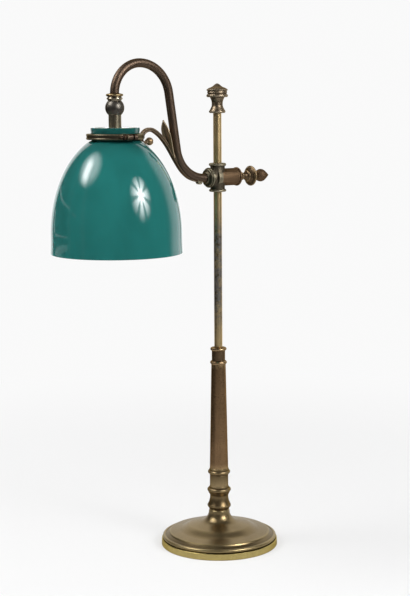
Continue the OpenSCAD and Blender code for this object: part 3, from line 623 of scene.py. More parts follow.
@dataclass(frozen=True)
class CasedGlass:
    """Glossy blown glass with a faint ripple, and specks under its skin."""

    name: str
    body: Colour
    deep: Colour
    roughness: float = 0.05
    ripple: float = 0.12
    scatter: float = 0.0
    # How much the lip and the top of the shade are darkened towards deep, which is painted shade.
    neck: float = 0.0

    def build(self) -> bpy.types.Material:
        """Makes the material."""
        made, g = new_material(self.name)
        place = g.place()
        long = g.add("ShaderNodeMapping", {"Vector": place, "Scale": (1.0, 1.0, 0.35)}).outputs["Vector"]
        cloud = g.ramp(g.noise(long, 22.0, 3.0, 0.5, 0.6), 0.3, 0.7)
        tone = g.tint(cloud, self.deep, self.body)
        seed = g.ramp(g.noise(place, 900.0, 2.0, 0.5), 0.74, 0.8)
        tone = g.tint(g.math("MULTIPLY", seed, 0.35), tone, tuple(0.4 * c for c in self.deep))
        # Painted shade: the glass is darker near the rim and fades out down the shoulder.
        thick = g.ramp(g.measure("run"), 10.0, 48.0, self.neck, 0.0)
        tone = g.tint(thick, tone, tuple(0.35 * c for c in self.deep))
        haze = g.ramp(g.noise(place, 60.0, 6.0, 0.7), 0.45, 0.75, self.roughness * 0.7, self.roughness * 1.8)
        wave = g.math("ADD", g.noise(long, 26.0, 2.0, 0.4), g.math("MULTIPLY", g.noise(place, 240.0, 3.0, 0.5), 0.03))
        bump = g.add("ShaderNodeBump", {"Height": wave, "Strength": self.ripple, "Distance": 0.002})
        close_shader(
            g,
            {
                "Base Color": tone,
                "Roughness": haze,
                "IOR": 1.52,
                "Subsurface Weight": self.scatter,
                "Subsurface Scale": 0.002,
                "Normal": bump.outputs["Normal"],
            },
        )
        return made


@dataclass(frozen=True)
class PearlGlass:
    """The bulb's thin frosted glass."""

    name: str = "pearl_glass"
    body: Colour = (0.93, 0.93, 0.90)

    def build(self) -> bpy.types.Material:
        """Makes the material."""
        made, g = new_material(self.name)
        place = g.place()
        frost = g.noise(place, 700.0, 4.0, 0.6)
        tone = g.tint(g.ramp(frost, 0.3, 0.7), tuple(0.94 * c for c in self.body), self.body)
        bump = g.add("ShaderNodeBump", {"Height": frost, "Strength": 0.08, "Distance": 0.0001})
        close_shader(
            g,
            {
                "Base Color": tone,
                "Roughness": g.ramp(frost, 0.3, 0.7, 0.22, 0.34),
                "IOR": 1.5,
                "Transmission Weight": 0.35,
                "Normal": bump.outputs["Normal"],
            },
        )
        return made


@dataclass(frozen=True)
class Baize:
    """Worn woollen cloth under the foot."""

    name: str = "green_baize"
    body: Colour = (0.035, 0.09, 0.05)

    def build(self) -> bpy.types.Material:
        """Makes the material."""
        made, g = new_material(self.name)
        place = g.place()
        nap = g.noise(place, 1600.0, 4.0, 0.7)
        worn = g.ramp(g.noise(place, 45.0, 4.0, 0.6), 0.45, 0.7)
        tone = g.tint(g.math("MULTIPLY", nap, 0.8), tuple(0.5 * c for c in self.body), self.body)
        tone = g.tint(g.math("MULTIPLY", worn, 0.4), tone, (0.12, 0.13, 0.09))
        bump = g.add("ShaderNodeBump", {"Height": nap, "Strength": 0.6, "Distance": 0.0004})
        close_shader(
            g,
            {"Base Color": tone, "Roughness": 0.95, "Sheen Weight": 0.4, "Normal": bump.outputs["Normal"]},
        )
        return made


@dataclass(frozen=True)
class PlainMetal:
    """Iron, steel or tinplate inside the lamp, with its casting or turning marks."""

    name: str
    face: Colour
    deep: Colour
    metallic: float = 1.0
    roughness: tuple[float, float] = (0.35, 0.55)
    grain: float = 300.0
    bump: float = 0.3

    def build(self) -> bpy.types.Material:
        """Makes the material."""
        made, g = new_material(self.name)
        place = g.place()
        skin = g.noise(place, self.grain, 6.0, 0.65)
        tone = g.tint(g.ramp(skin, 0.35, 0.65), self.deep, self.face)
        stain = g.ramp(g.noise(place, 30.0, 4.0, 0.6), 0.5, 0.75)
        tone = g.tint(g.math("MULTIPLY", stain, 0.4), tone, tuple(0.6 * c for c in self.deep))
        bump = g.add("ShaderNodeBump", {"Height": skin, "Strength": self.bump, "Distance": 0.0002})
        close_shader(
            g,
            {
                "Base Color": tone,
                "Metallic": self.metallic,
                "Roughness": g.ramp(skin, 0.3, 0.7, *self.roughness),
                "Normal": bump.outputs["Normal"],
            },
        )
        return made


class Finish(Enum):
    """The finishes of the lamp's pieces."""

    SATIN = AgedMetal(
        "satin_brass", (0.224, 0.166, 0.084), (0.098, 0.071, 0.037), (0.40, 0.32, 0.16), rim=(0.80, 0.78, 0.74),
        wear=0.7, roughness=(0.31, 0.40), cloud=28.0, bump=0.06,
    )
    TURNED = AgedMetal("turned_brass", (0.200, 0.142, 0.071), (0.070, 0.048, 0.026), (0.40, 0.30, 0.16), dirt_and_shade=0.95)
    FINIAL = AgedMetal(
        "finial_brass", (0.205, 0.156, 0.104), (0.085, 0.064, 0.042), (0.42, 0.35, 0.25), roughness=(0.36, 0.47),
        dirt_and_shade=0.35, green=0.1,
    )
    BAND = AgedMetal(
        "yellow_brass", (0.41, 0.315, 0.105), (0.075, 0.042, 0.017), (0.50, 0.40, 0.16), rim=(0.55, 0.50, 0.36),
        roughness=(0.26, 0.40), cloud=95.0, dirt_and_shade=0.7, green=0.2, spots=0.6,
    )
    BROWN = AgedMetal(
        "brown_brass", (0.115, 0.073, 0.042), (0.050, 0.032, 0.021), (0.24, 0.155, 0.09), green=0.1,
        roughness=(0.58, 0.70),
    )
    ARM = AgedMetal(
        "arm_brass", (0.108, 0.075, 0.053), (0.066, 0.046, 0.033), (0.21, 0.147, 0.096), green=0.1,
        roughness=(0.43, 0.53),
    )
    COLUMN = AgedMetal(
        "column_brass", (0.240, 0.147, 0.076), (0.088, 0.056, 0.031), (0.40, 0.28, 0.14), green=0.1,
        roughness=(0.26, 0.38)
    )
    ROD = AgedMetal(
        "rod_brass", (0.74, 0.55, 0.28), (0.44, 0.32, 0.16), (0.85, 0.68, 0.38), roughness=(0.31, 0.34), spots=0.04,
        green=0.0, grain=0.3, bump=0.004, tarnish=(0.30, 0.285, 0.26),
    )
    DARK = AgedMetal(
        "dark_brass", (0.110, 0.100, 0.088), (0.045, 0.040, 0.034), (0.275, 0.250, 0.188), roughness=(0.36, 0.48)
    )
    OLIVE = AgedMetal(
        "olive_brass", (0.134, 0.111, 0.077), (0.046, 0.039, 0.029), (0.34, 0.30, 0.21), bloom=(0.16, 0.17, 0.13),
        roughness=(0.46, 0.60), wear=1.0, dirt_and_shade=0.6, green=0.4,
    )
    # A darker copy of the olive brass, which paints the shade on the cup's cone.
    CUP = AgedMetal(
        "cup_brass", (0.105, 0.086, 0.056), (0.035, 0.030, 0.022), (0.30, 0.28, 0.20), bloom=(0.15, 0.16, 0.13),
        roughness=(0.42, 0.54), wear=0.6, green=0.25,
    )
    KNOB = AgedMetal(
        "knob_brass", (0.132, 0.088, 0.051), (0.050, 0.035, 0.023), (0.36, 0.26, 0.15), roughness=(0.40, 0.52),
        wear=0.9, green=0.1,
    )
    LOCK = AgedMetal(
        "polished_brass", (0.308, 0.264, 0.198), (0.143, 0.121, 0.083), (0.550, 0.473, 0.352), roughness=(0.16, 0.26), green=0.1
    )
    GILT = AgedMetal(
        "warm_brass", (0.38, 0.25, 0.135), (0.13, 0.085, 0.05), (0.48, 0.34, 0.19), green=0.1, roughness=(0.46, 0.6)
    )
    RING = AgedMetal(
        "ring_brass", (0.150, 0.122, 0.080), (0.051, 0.044, 0.033), (0.38, 0.33, 0.22), bloom=(0.10, 0.12, 0.095), green=0.6
    )
    LUG = AgedMetal(
        "lug_brass", (0.070, 0.048, 0.036), (0.026, 0.019, 0.015), (0.150, 0.105, 0.075), green=0.1,
        roughness=(0.42, 0.55),
    )
    HANDLE = AgedMetal(
        "handle_brass", (0.050, 0.033, 0.024), (0.020, 0.014, 0.011), (0.120, 0.078, 0.050), green=0.05,
        roughness=(0.42, 0.55),
    )
    CAP = AgedMetal("cap_brass", (0.27, 0.180, 0.100), (0.11, 0.073, 0.043), (0.40, 0.29, 0.16), green=0.15)
    DROP = AgedMetal(
        "tube_brass", (0.255, 0.225, 0.158), (0.135, 0.117, 0.083), (0.450, 0.390, 0.270), roughness=(0.26, 0.38)
    )
    LEAF = AgedMetal(
        "cast_brass", (0.250, 0.182, 0.120), (0.080, 0.058, 0.040), (0.38, 0.29, 0.20), dirt_and_shade=0.9, green=0.1
    )
    # Painted much lighter than the cast strap, as painted light on a leaf that faces away from the lamps.
    BLADE = AgedMetal(
        "leaf_brass", (0.52, 0.40, 0.26), (0.10, 0.072, 0.048), (0.66, 0.53, 0.36), dirt_and_shade=0.95, green=0.1,
        roughness=(0.46, 0.58),
    )
    GREEN_GLASS = CasedGlass("green_glass", (0.0115, 0.126, 0.115), (0.009, 0.103, 0.094), neck=0.55)
    OPAL_GLASS = CasedGlass("opal_glass", (0.86, 0.88, 0.84), (0.80, 0.83, 0.79), roughness=0.09, scatter=0.15)
    PEARL = PearlGlass()
    BAIZE = Baize()
    IRON = PlainMetal("cast_iron", (0.09, 0.09, 0.09), (0.05, 0.048, 0.045), roughness=(0.55, 0.75), grain=500.0, bump=0.7)
    STEEL = PlainMetal("turned_steel", (0.46, 0.45, 0.43), (0.33, 0.32, 0.30), bump=0.15)
    TIN = PlainMetal("bulb_metal", (0.68, 0.67, 0.64), (0.52, 0.51, 0.48), roughness=(0.25, 0.4), bump=0.1)
    CERAMIC = PlainMetal(
        "glazed_ceramic", (0.84, 0.81, 0.74), (0.74, 0.70, 0.62), metallic=0.0, roughness=(0.12, 0.22), bump=0.08
    )


class Workshop:
    """Keeps the frame and the made materials, and fits pieces to the frame."""

    def __init__(self, frame: dict[str, Any]) -> None:
        """Starts from a loaded frame."""
        self.nodes: dict[str, bpy.types.Object] = frame["nodes"]
        record = frame["record"]
        self.body_of = {n: body for body, members in record["behaviour"]["bodies"].items() for n in members}
        self.slot_of = {row["node"]: row["material_slot"] for row in record["subparts"]}
        self.materials: dict[Finish, bpy.types.Material] = {}

    def material(self, finish: Finish) -> bpy.types.Material:
        """The material of a finish, made at its first use."""
        if finish not in self.materials:
            self.materials[finish] = finish.value.build()
        return self.materials[finish]

    def fit(self, piece: bpy.types.Object, node: str, finish: Finish) -> bpy.types.Object:
        """Dresses a piece and puts it in its node's place.

        Args:
            piece: The piece.
            node: The node of the frame that it stands for.
            finish: Its finish.

        Returns:
            The piece.
        """
        piece.data.materials.clear()
        piece.data.materials.append(self.material(finish))
        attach(piece, self.body_of[node])
        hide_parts(node)
        LOG.info("%s stands for %s in %s", piece.name, node, finish.value.name)
        return piece

    def dress(self, node: str, finish: Finish) -> None:
        """Gives a node of the frame its finish, with its own mesh."""
        piece = self.nodes[node]
        piece.data.materials.clear()
        piece.data.materials.append(self.material(finish))
        LOG.info("%s keeps its own shape in %s", node, finish.value.name)


@dataclass
class Foot:
    """The weighted foot: a spun dome over a bright band, with baize beneath."""

    shop: Workshop
    dish_radius: float = 60.4
    dish_height: float = 17.0
    step_radius: float = 43.0
    step_rise: float = 4.0
    step_half: float = 7.0
    wall: float = 1.6
    neck_radius: float = 13.0
    bead: float = 2.4
    fillet: float = 15.5
    dish_slope: float = 0.17
    mound_slope: float = 0.24

    def face(self, radius: float) -> float:
        """Height of the dished face at a radius."""
        outer_r, inner_r = self.step_radius + self.step_half, self.step_radius - self.step_half
        step_z = self.dish_height + (self.dish_radius - outer_r) * self.dish_slope
        inner_z = step_z + self.step_half * (self.dish_slope + self.mound_slope) + self.step_rise - 0.5
        outer = self.dish_height + (self.dish_radius - radius) * self.dish_slope
        inner = inner_z + (inner_r - radius) * self.mound_slope
        return outer + (inner - outer) * ease((outer_r - radius) / (outer_r - inner_r))

    def build(self) -> None:
        """Makes and fits the foot's pieces."""
        self.fit_baize()
        self.fit_band()
        self.fit_dome()
        for node, finish in (("base_weight", Finish.IRON), ("base_washer", Finish.STEEL),
                             ("base_nut", Finish.STEEL), ("tie_rod", Finish.STEEL)):
            self.shop.dress(node, finish)

    def fit_baize(self) -> None:
        """The cloth, with a soft uneven edge."""
        span = Span.of("base_felt")
        edge = span.radius
        line = [(0.0, 0.02), (edge * 0.5, 0.0), (edge - 1, 0.0), (edge - 0.1, 0.4), (edge - 0.2, span.high.z - 0.3),
                (edge - 1, span.high.z), (0.0, span.high.z)]
        nap = lambda r, z, a: 0.0 if r < edge - 2 else -0.12 + 0.1 * math.sin(23 * a) * math.sin(37 * a + 1)
        self.shop.fit(turned("baize", line, closed=False, steps=180, wobble=nap), "base_felt", Finish.BAIZE)

    def fit_band(self) -> None:
        """The bright band at the table."""
        span, felt = Span.of("base_band"), Span.of("base_felt")
        r, top, inner, lift = span.radius, span.high.z, felt.radius + 0.05, felt.high.z + 0.2
        line = [(inner, 0), (r - 0.4, 0), (r, 0.5), (r - 0.4, top - 0.4), (r - 0.9, top), (r - 8, top), (r - 8, lift),
                (inner, lift)]
        self.shop.fit(turned("foot_band", line, steps=144), "base_band", Finish.BAND)

    def fit_dome(self) -> None:
        """The spun dome, hollow beneath."""
        span, band = Span.of("base_dome"), Span.of("base_band")
        top, seat = span.high.z, band.high.z + 0.1
        bead_c = (band.radius - 4, seat + self.bead)
        start, end = 12.0, math.degrees(math.atan(1 / self.mound_slope))
        reach = self.fillet * (math.cos(math.radians(start)) - math.cos(math.radians(end)))
        fillet_c = (
            self.neck_radius + self.fillet * math.cos(math.radians(start)),
            self.face(self.neck_radius + reach) + self.fillet * math.sin(math.radians(end)),
        )
        count = 44
        radii = [self.dish_radius - i * (self.dish_radius - fillet_c[0]) / count for i in range(count + 1)]
        face = [(r, self.face(r)) for r in radii]
        under = [(r, self.face(r) - self.wall) for r in (20 + i * (self.dish_radius - 22) / 20 for i in range(21))]
        spigot, hub = 8.05, self.face(20) - 4
        neck = arc(fillet_c, self.fillet, 180 + end, 180 + start, 16)
        line = [(bead_c[0] - self.bead - 3.2, seat), (bead_c[0] + 1, seat)]
        line += arc(bead_c, self.bead, -60, 130, 14)
        line += [(self.dish_radius + 2.4, self.dish_height - 2.2), (self.dish_radius + 1.6, self.dish_height - 0.7),
                 (self.dish_radius + 0.8, self.dish_height - 0.15)]
        line += face + neck
        line += [(self.neck_radius - 0.1, top - 2), (self.neck_radius - 0.6, top - 0.5), (self.neck_radius - 1, top),
                 (spigot, top), (spigot, top - 6.2), (4.4, top - 6.2), (4.4, hub), (16, hub)]
        self.shop.fit(turned("foot_dome", line + under, steps=160), "base_dome", Finish.SATIN)


@dataclass
class Column:
    """The lower stem: a vase-shaped knop, a collar, a tapered tube and a beaded cap."""

    shop: Workshop
    knop_radius: float = 14.5
    foot_radius: float = 11.4
    top_radius: float = 8.9
    cap_radius: float = 8.2
    wall: float = 1.6
    spigot: float = 8.0
    spigot_height: float = 6.0
    tie_hole: float = 4.4
    fit: float = 0.05

    def build(self) -> None:
        """Makes and fits the column's pieces."""
        self.fit_knop()
        self.fit_collar()
        self.fit_tube()
        self.fit_cap()

    def fit_knop(self) -> None:
        """The knop over the foot, with its swell and its bead."""
        span = Span.of("column_knop")
        low, top = span.low.z + self.spigot_height, span.high.z
        swell, bead, waist, r = low + 5, top - 5, self.foot_radius - 0.1, self.knop_radius
        line = [(self.tie_hole, low - self.spigot_height), (self.spigot, low - self.spigot_height), (self.spigot, low),
                (r - 2.2, low)]
        line += arc((r - 3.2, swell), 3.2, -62, 40, 12)
        line += bezier((waist + 1.2, swell + 5), (waist + 0.3, swell + 8), (waist, swell + 10), (waist, swell + 12.4), 8)
        line += [(waist + 0.3, bead - 6.3), (waist + 0.9, bead - 5), (r - 1.5, bead - 3.8)]
        line += arc((r - 2.6, bead + 0.1), 2.7, -50, 62, 10)
        line += [(self.foot_radius + 0.5, bead + 3), (self.foot_radius + 0.5, top), (self.spigot + self.fit, top),
                 (self.spigot + self.fit, top - self.spigot_height - 0.2), (self.tie_hole, top - self.spigot_height - 0.2)]
        self.shop.fit(turned("knop", line), "column_knop", Finish.TURNED)

    def fit_collar(self) -> None:
        """The collar between the knop and the tube."""
        span, tube = Span.of("column_collar"), Span.of("column_tube")
        low, top, r = span.low.z + self.spigot_height, tube.low.z, self.foot_radius
        bead, bore = top - 5, self.foot_radius - self.wall - self.fit
        line = [(self.tie_hole, low - self.spigot_height), (self.spigot, low - self.spigot_height), (self.spigot, low),
                (r, low), (r, bead - 3.8), (r - 0.3, bead - 3.4), (r + 0.5, bead - 3)]
        line += arc((r, bead), 2.4, -75, 75, 12)
        line += [(r + 0.6, bead + 3.2), (r + 0.6, bead + 4), (r, bead + 4.4), (r, top), (bore - 0.1, top),
                 (bore - 0.3, top + self.spigot_height), (self.tie_hole, top + self.spigot_height)]
        self.shop.fit(turned("collar", line), "column_collar", Finish.TURNED)

    def fit_tube(self) -> None:
        """The tapered tube."""
        span = Span.of("column_tube")
        low, high, count = span.low.z, span.high.z, 20
        side = [(self.foot_radius + (self.top_radius - self.foot_radius) * i / count, low + (high - low) * i / count)
                for i in range(count + 1)]
        line = side + [(r - self.wall, z) for r, z in reversed(side)]
        self.shop.fit(turned("tapered_tube", line, edge=0.15), "column_tube", Finish.COLUMN)

    def fit_cap(self) -> None:
        """The cap with its two beads, which holds the rod."""
        span, tube = Span.of("column_cap"), Span.of("column_tube")
        rod = Span.of("stem_rod")
        low, top, seat = tube.high.z, span.high.z, rod.low.z - 0.3
        plug, rod_bore, tie = self.top_radius - self.wall - 0.15, rod.radius + self.fit, 3.95
        line = [(tie, low - 10), (plug, low - 10), (plug, low), (self.top_radius, low), (self.top_radius, low + 0.7)]
        line += arc((self.cap_radius - 0.2, low + 2.9), 2.3, -60, 60, 10)
        line += [(self.cap_radius, low + 5.5), (self.cap_radius, top - 4.6)]
        line += arc((self.cap_radius - 0.2, top - 2.2), 2.0, -70, 70, 10)
        line += [(rod.radius + 1.6, top), (rod_bore, top), (rod_bore, seat), (0, seat), (0, low + 4.3), (tie, low + 4.3)]
        self.shop.fit(turned("cap", line), "column_cap", Finish.CAP)


@dataclass
class StemRod:
    """The bright rod that the slider runs on, and its finial."""

    shop: Workshop
    wall: float = 1.2
    flange: float = 13.0
    tarnish_low: float = 0.06
    tarnish_high: float = 0.64

    def build(self) -> None:
        """Makes and fits the rod's pieces."""
        self.fit_rod()
        self.fit_finial()
        self.shop.dress("rod_plug", Finish.DARK)

    def fit_rod(self) -> None:
        """The drawn tube, with many rings so that its finish can vary."""
        span = Span.of("stem_rod")
        r, count = span.radius, 60
        side = [(r, span.low.z + (span.high.z - span.low.z) * i / count) for i in range(count + 1)]
        line = side + [(r - self.wall, z) for _, z in reversed(side)]
        rod = turned("rod", line, steps=64, edge=0.15)
        low, reach = span.low.z * MM, (span.high.z - span.low.z) * MM
        add_measure(rod.data, "tarnish", np.array([self.tarnish((v.co.z - low) / reach) for v in rod.data.vertices]))
        self.shop.fit(rod, "stem_rod", Finish.ROD)

    def tarnish(self, share: float) -> float:
        """How tarnished the rod is at a share of its height: the stretch below the slider is."""
        return ease((share - self.tarnish_low) / 0.16) * ease((self.tarnish_high - share) / 0.20)

    def fit_finial(self) -> None:
        """The finial: a cup on the rod, a waist, a band under a low roof and a small knob."""
        span, rod, plug = Span.of("finial"), Span.of("stem_rod"), Span.of("rod_plug")
        z, top, r, w = span.low.z, span.high.z, self.flange, rod.radius + 1.65
        bore, stud = rod.radius + 0.05, rod.radius - self.wall - 0.75
        foot = arc((8.2, 1.8), 1.8, -80, 60, 8)
        foot += bezier((8.7, 4.2), (7.6, 6.4), (w, 7.6), (w, 10), 8)
        waist = bezier((w, 12.6), (w + 0.2, 14.4), (w + 0.9, 16.4), (w + 2, 18.2), 8) + [(w + 2, 18.9)]
        band = arc((r - 1.9, 20.7), 1.9, -75, 75, 12)
        band += [(r - 1.7, 22.9), (r - 1.2, 23.6), (r - 1.0, 24.6), (r - 1.4, 25.8), (r - 1.1, 26.6), (r, 27.1), (r, 27.7)]
        roof = bezier((r - 1, 28.5), (r - 2.6, 30.2), (7.4, 30.6), (5.8, 31.7), 8) + [(4.6, 32.6), (3.3, 33.7)]
        knob = arc((0, top - z - 3.6), 3.6, 48, 90, 8)
        inside = [(0, plug.high.z + 0.5 - z), (stud, plug.high.z + 0.5 - z), (stud, rod.high.z + 0.3 - z),
                  (bore, rod.high.z + 0.3 - z), (bore, 0.0)]
        line = shifted(foot + waist + band + roof + knob + inside, z)
        self.shop.fit(turned("finial_knob", line), "finial", Finish.FINIAL)


@dataclass
class Slider:
    """The sleeve on the rod, with the clamp's barrel, its screw and its knob."""

    shop: Workshop
    sleeve: float = 8.8
    flange: float = 10.4
    barrel: float = 10.45
    knob: float = 12.3
    acorn: float = 7.8
    boss_in: float = 4.7
    boss_out: float = 1.2
    pilot: float = 8.4
    pilot_end: float = 12.0
    screw: float = 3.5

    def build(self) -> None:
        """Makes and fits the slider's pieces."""
        self.fit_sleeve()
        self.fit_barrel()
        self.fit_knob()
        self.shop.dress("friction_liner", Finish.GILT)
        self.shop.dress("clamp_shoe", Finish.GILT)
        self.shop.dress("clamp_screw", Finish.BROWN)

    def centre(self) -> Vector:
        """The point where the clamp's axis meets the stem's."""
        return Vector((0, 0, Span.of("slider_sleeve").middle.z))

    def fit_sleeve(self) -> None:
        """The sleeve, with the boss that the barrel screws to and the stub that carries the arm."""
        span, liner, shoe = Span.of("slider_sleeve"), Span.of("friction_liner"), Span.of("clamp_shoe")
        low, top, r, f = span.low.z, span.high.z, self.sleeve, self.flange
        line: list[Point] = [(0, low)]
        line += arc((f - 1.5, low + 1.6), 1.6, -80, 70, 8)
        line += [(r, low + 3.6), (r, top - 4.4), (r + 0.3, top - 3.6), (f - 0.3, top - 3.1), (f, top - 2.6),
                 (f, top - 0.9), (f - 0.6, top - 0.3), (f - 1.6, top), (0, top)]
        body = turned("sleeve", line, closed=False, steps=64)
        boss_r = self.barrel + 0.4
        rod = self.bar("boss", boss_r, -self.boss_in, self.boss_out, 64, 0.4)
        pilot = self.bar("pilot", self.pilot, 0, self.pilot_end, 48, 0.2)
        stub = self.bar("stub", 7.0, -11, 0, 48, 0.2)
        bore_r = liner.radius + 0.05
        bore = turned("bore", [(0, low - 5), (bore_r, low - 5), (bore_r, top + 5), (0, top + 5)], closed=False,
                      steps=64, edge=0.01)
        way = self.bar("way", shoe.radius + 0.05, 0, self.pilot_end + 1, 48, 0.01)
        socket = self.bar("socket", 4.5, -12, -7.4, 48, 0.01)
        body = carved(body, [(rod, Carve.JOIN), (pilot, Carve.JOIN), (stub, Carve.JOIN), (bore, Carve.CUT),
                             (way, Carve.CUT), (socket, Carve.CUT)])
        settle_by_angle(body.data)
        self.shop.fit(body, "slider_sleeve", Finish.OLIVE)

    def bar(self, name: str, radius: float, start: float, end: float, steps: int, edge: float) -> bpy.types.Object:
        """A solid bar on the clamp's axis."""
        line = [(0, start), (radius, start), (radius, end), (0, end)]
        return turned(name, line, Axis.OUT, self.centre(), closed=False, steps=steps, edge=edge)

    def fit_barrel(self) -> None:
        """The barrel and the ring that closes it."""
        end, ring = Span.of("clamp_barrel").high.x, Span.of("barrel_ring")
        r, bore, mid = self.barrel, self.screw + 0.05, self.centre()
        line = [(bore, self.pilot_end + 0.1), (self.pilot + 0.05, self.pilot_end + 0.1),
                (self.pilot + 0.05, self.boss_out + 0.05), (r - 0.3, self.boss_out + 0.05), (r, self.boss_out + 0.4),
                (r, end - 1.2), (r - 0.4, end - 0.8), (r - 0.4, end), (bore, end)]
        body = turned("barrel", line, Axis.OUT, mid, steps=96)
        span = Span.of("slider_sleeve")
        edge = self.sleeve + 0.05
        cut_line = [(0, span.low.z - 2), (edge, span.low.z - 2), (edge, span.high.z + 2), (0, span.high.z + 2)]
        cutter = turned("saddle", cut_line, closed=False, steps=96, edge=0.01)
        body = carved(body, [(cutter, Carve.CUT)])
        settle_by_angle(body.data)
        self.shop.fit(body, "clamp_barrel", Finish.BROWN)
        out, e, t = ring.radius, ring.low.x, ring.high.x - ring.low.x
        line = [(bore, e)] + arc((out - 1.3, e + 1.3), 1.3, -90, 35, 10)
        line += [(out - 1.6, e + 2.9), (out - 4.4, e + t), (bore, e + t)]
        self.shop.fit(turned("mouth_ring", line, Axis.OUT, mid), "barrel_ring", Finish.BROWN)

    def fit_knob(self) -> None:
        """The turned knob and the acorn on its end."""
        knob, acorn, mid = Span.of("clamp_knob"), Span.of("clamp_acorn"), self.centre()
        s, end, r, bore = knob.low.x, knob.high.x, self.knob, self.screw + 0.05
        rim = s + 14.6
        line: list[Point] = [(bore, s), (4.2, s), (4.8, s + 0.7), (4.8, s + 1.6), (4.2, s + 2.4)]
        line += bezier((4.0, s + 3.4), (3.9, s + 5), (4.4, s + 6.6), (5.4, s + 7.6), 6)
        line += [(6.6, s + 8.4), (7.0, s + 9.2), (6.8, s + 10), (r - 3.6, rim - 2.2)]
        line += arc((r - 1.1, rim), 1.1, -50, 50, 8)
        line += bezier((r - 3.4, rim + 2.6), (7.0, rim + 5.4), (5.4, rim + 7.2), (4.7, end), 8)
        line += [(0, end), (0, s + 4.1), (bore, s + 4.1)]
        self.shop.fit(turned("knob", line, Axis.OUT, mid), "clamp_knob", Finish.KNOB)
        s, end, r = acorn.low.x, acorn.high.x, self.acorn
        line = [(0, s), (4.5, s), (r - 2, s + 1.2)]
        line += bezier((r - 0.8, s + 3), (r + 0.3, s + 5.4), (r + 0.2, s + 8), (r - 1.5, s + 10.7), 10)
        line += [(r - 3.2, s + 13.2), (r - 5, s + 15.6), (1.2, end - 1.1), (0.5, end - 0.2), (0, end)]
        self.shop.fit(turned("acorn", line, Axis.OUT, mid, closed=False), "clamp_acorn", Finish.BROWN)


def settle_by_angle(mesh: bpy.types.Mesh, angle: float = 32) -> None:
    """Smooths a carved mesh, and keeps its edges past an angle in degrees sharp."""
    mesh.shade_smooth()
    mesh.set_sharp_from_angle(angle=math.radians(angle))


@dataclass(frozen=True)
class NeckLine:
    """The swan neck's centre line in the arm's plane, worked out from the frame."""

    tube: float
    start: Point
    root: float
    axis: float
    crown: float
    end: float
    arch_in: float = 41.0
    arch_out: float = 35.0
    lean: float = 9.0

    @classmethod
    def from_frame(cls) -> "NeckLine":
        """Reads the neck's places from the frame."""
        neck, cup_gap = Span.of("swan_neck"), 1.8
        return cls(
            tube=neck.radius,
            start=(neck.high.x, Span.of("slider_sleeve").middle.z),
            root=Span.of("arm_cup").low.x - cup_gap,
            axis=Span.of("shade_casing").middle.x,
            crown=neck.high.z - neck.radius,
            end=Span.of("neck_flange").low.z + 0.4,
        )

    @property
    def leg_top(self) -> Point:
        """Where the leaning leg runs into the arch."""
        c, s = math.cos(math.radians(self.lean)), math.sin(math.radians(self.lean))
        return (self.axis + self.arch_out + self.arch_in * c, self.crown - self.arch_in * (1 - s))

    @property
    def sweep(self) -> float:
        """The radius of the bend over the cup."""
        c, s = math.cos(math.radians(self.lean)), math.sin(math.radians(self.lean))
        return (c * (self.root - self.leg_top[0]) - s * (self.leg_top[1] - self.start[1])) / (1 - s)

    @property
    def sweep_centre(self) -> Point:
        """The centre of the bend over the cup."""
        return (self.root, self.start[1] + self.sweep)

    def points(self) -> list[Point]:
        """The line from the cup to the flange."""
        middle = self.axis + self.arch_out
        low = arc(self.sweep_centre, self.sweep, 270, 180 + self.lean, 30)
        leg = [(low[-1][0] + (self.leg_top[0] - low[-1][0]) * k / 8, low[-1][1] + (self.leg_top[1] - low[-1][1]) * k / 8)
               for k in range(1, 8)]
        arch = arc((middle, self.crown - self.arch_in), self.arch_in, self.lean, 90, 32)
        arch += arc((middle, self.crown - self.arch_out), self.arch_out, 90, 180, 30)[1:]
        return [self.start, *low, *leg, *arch, (self.axis, self.end)]


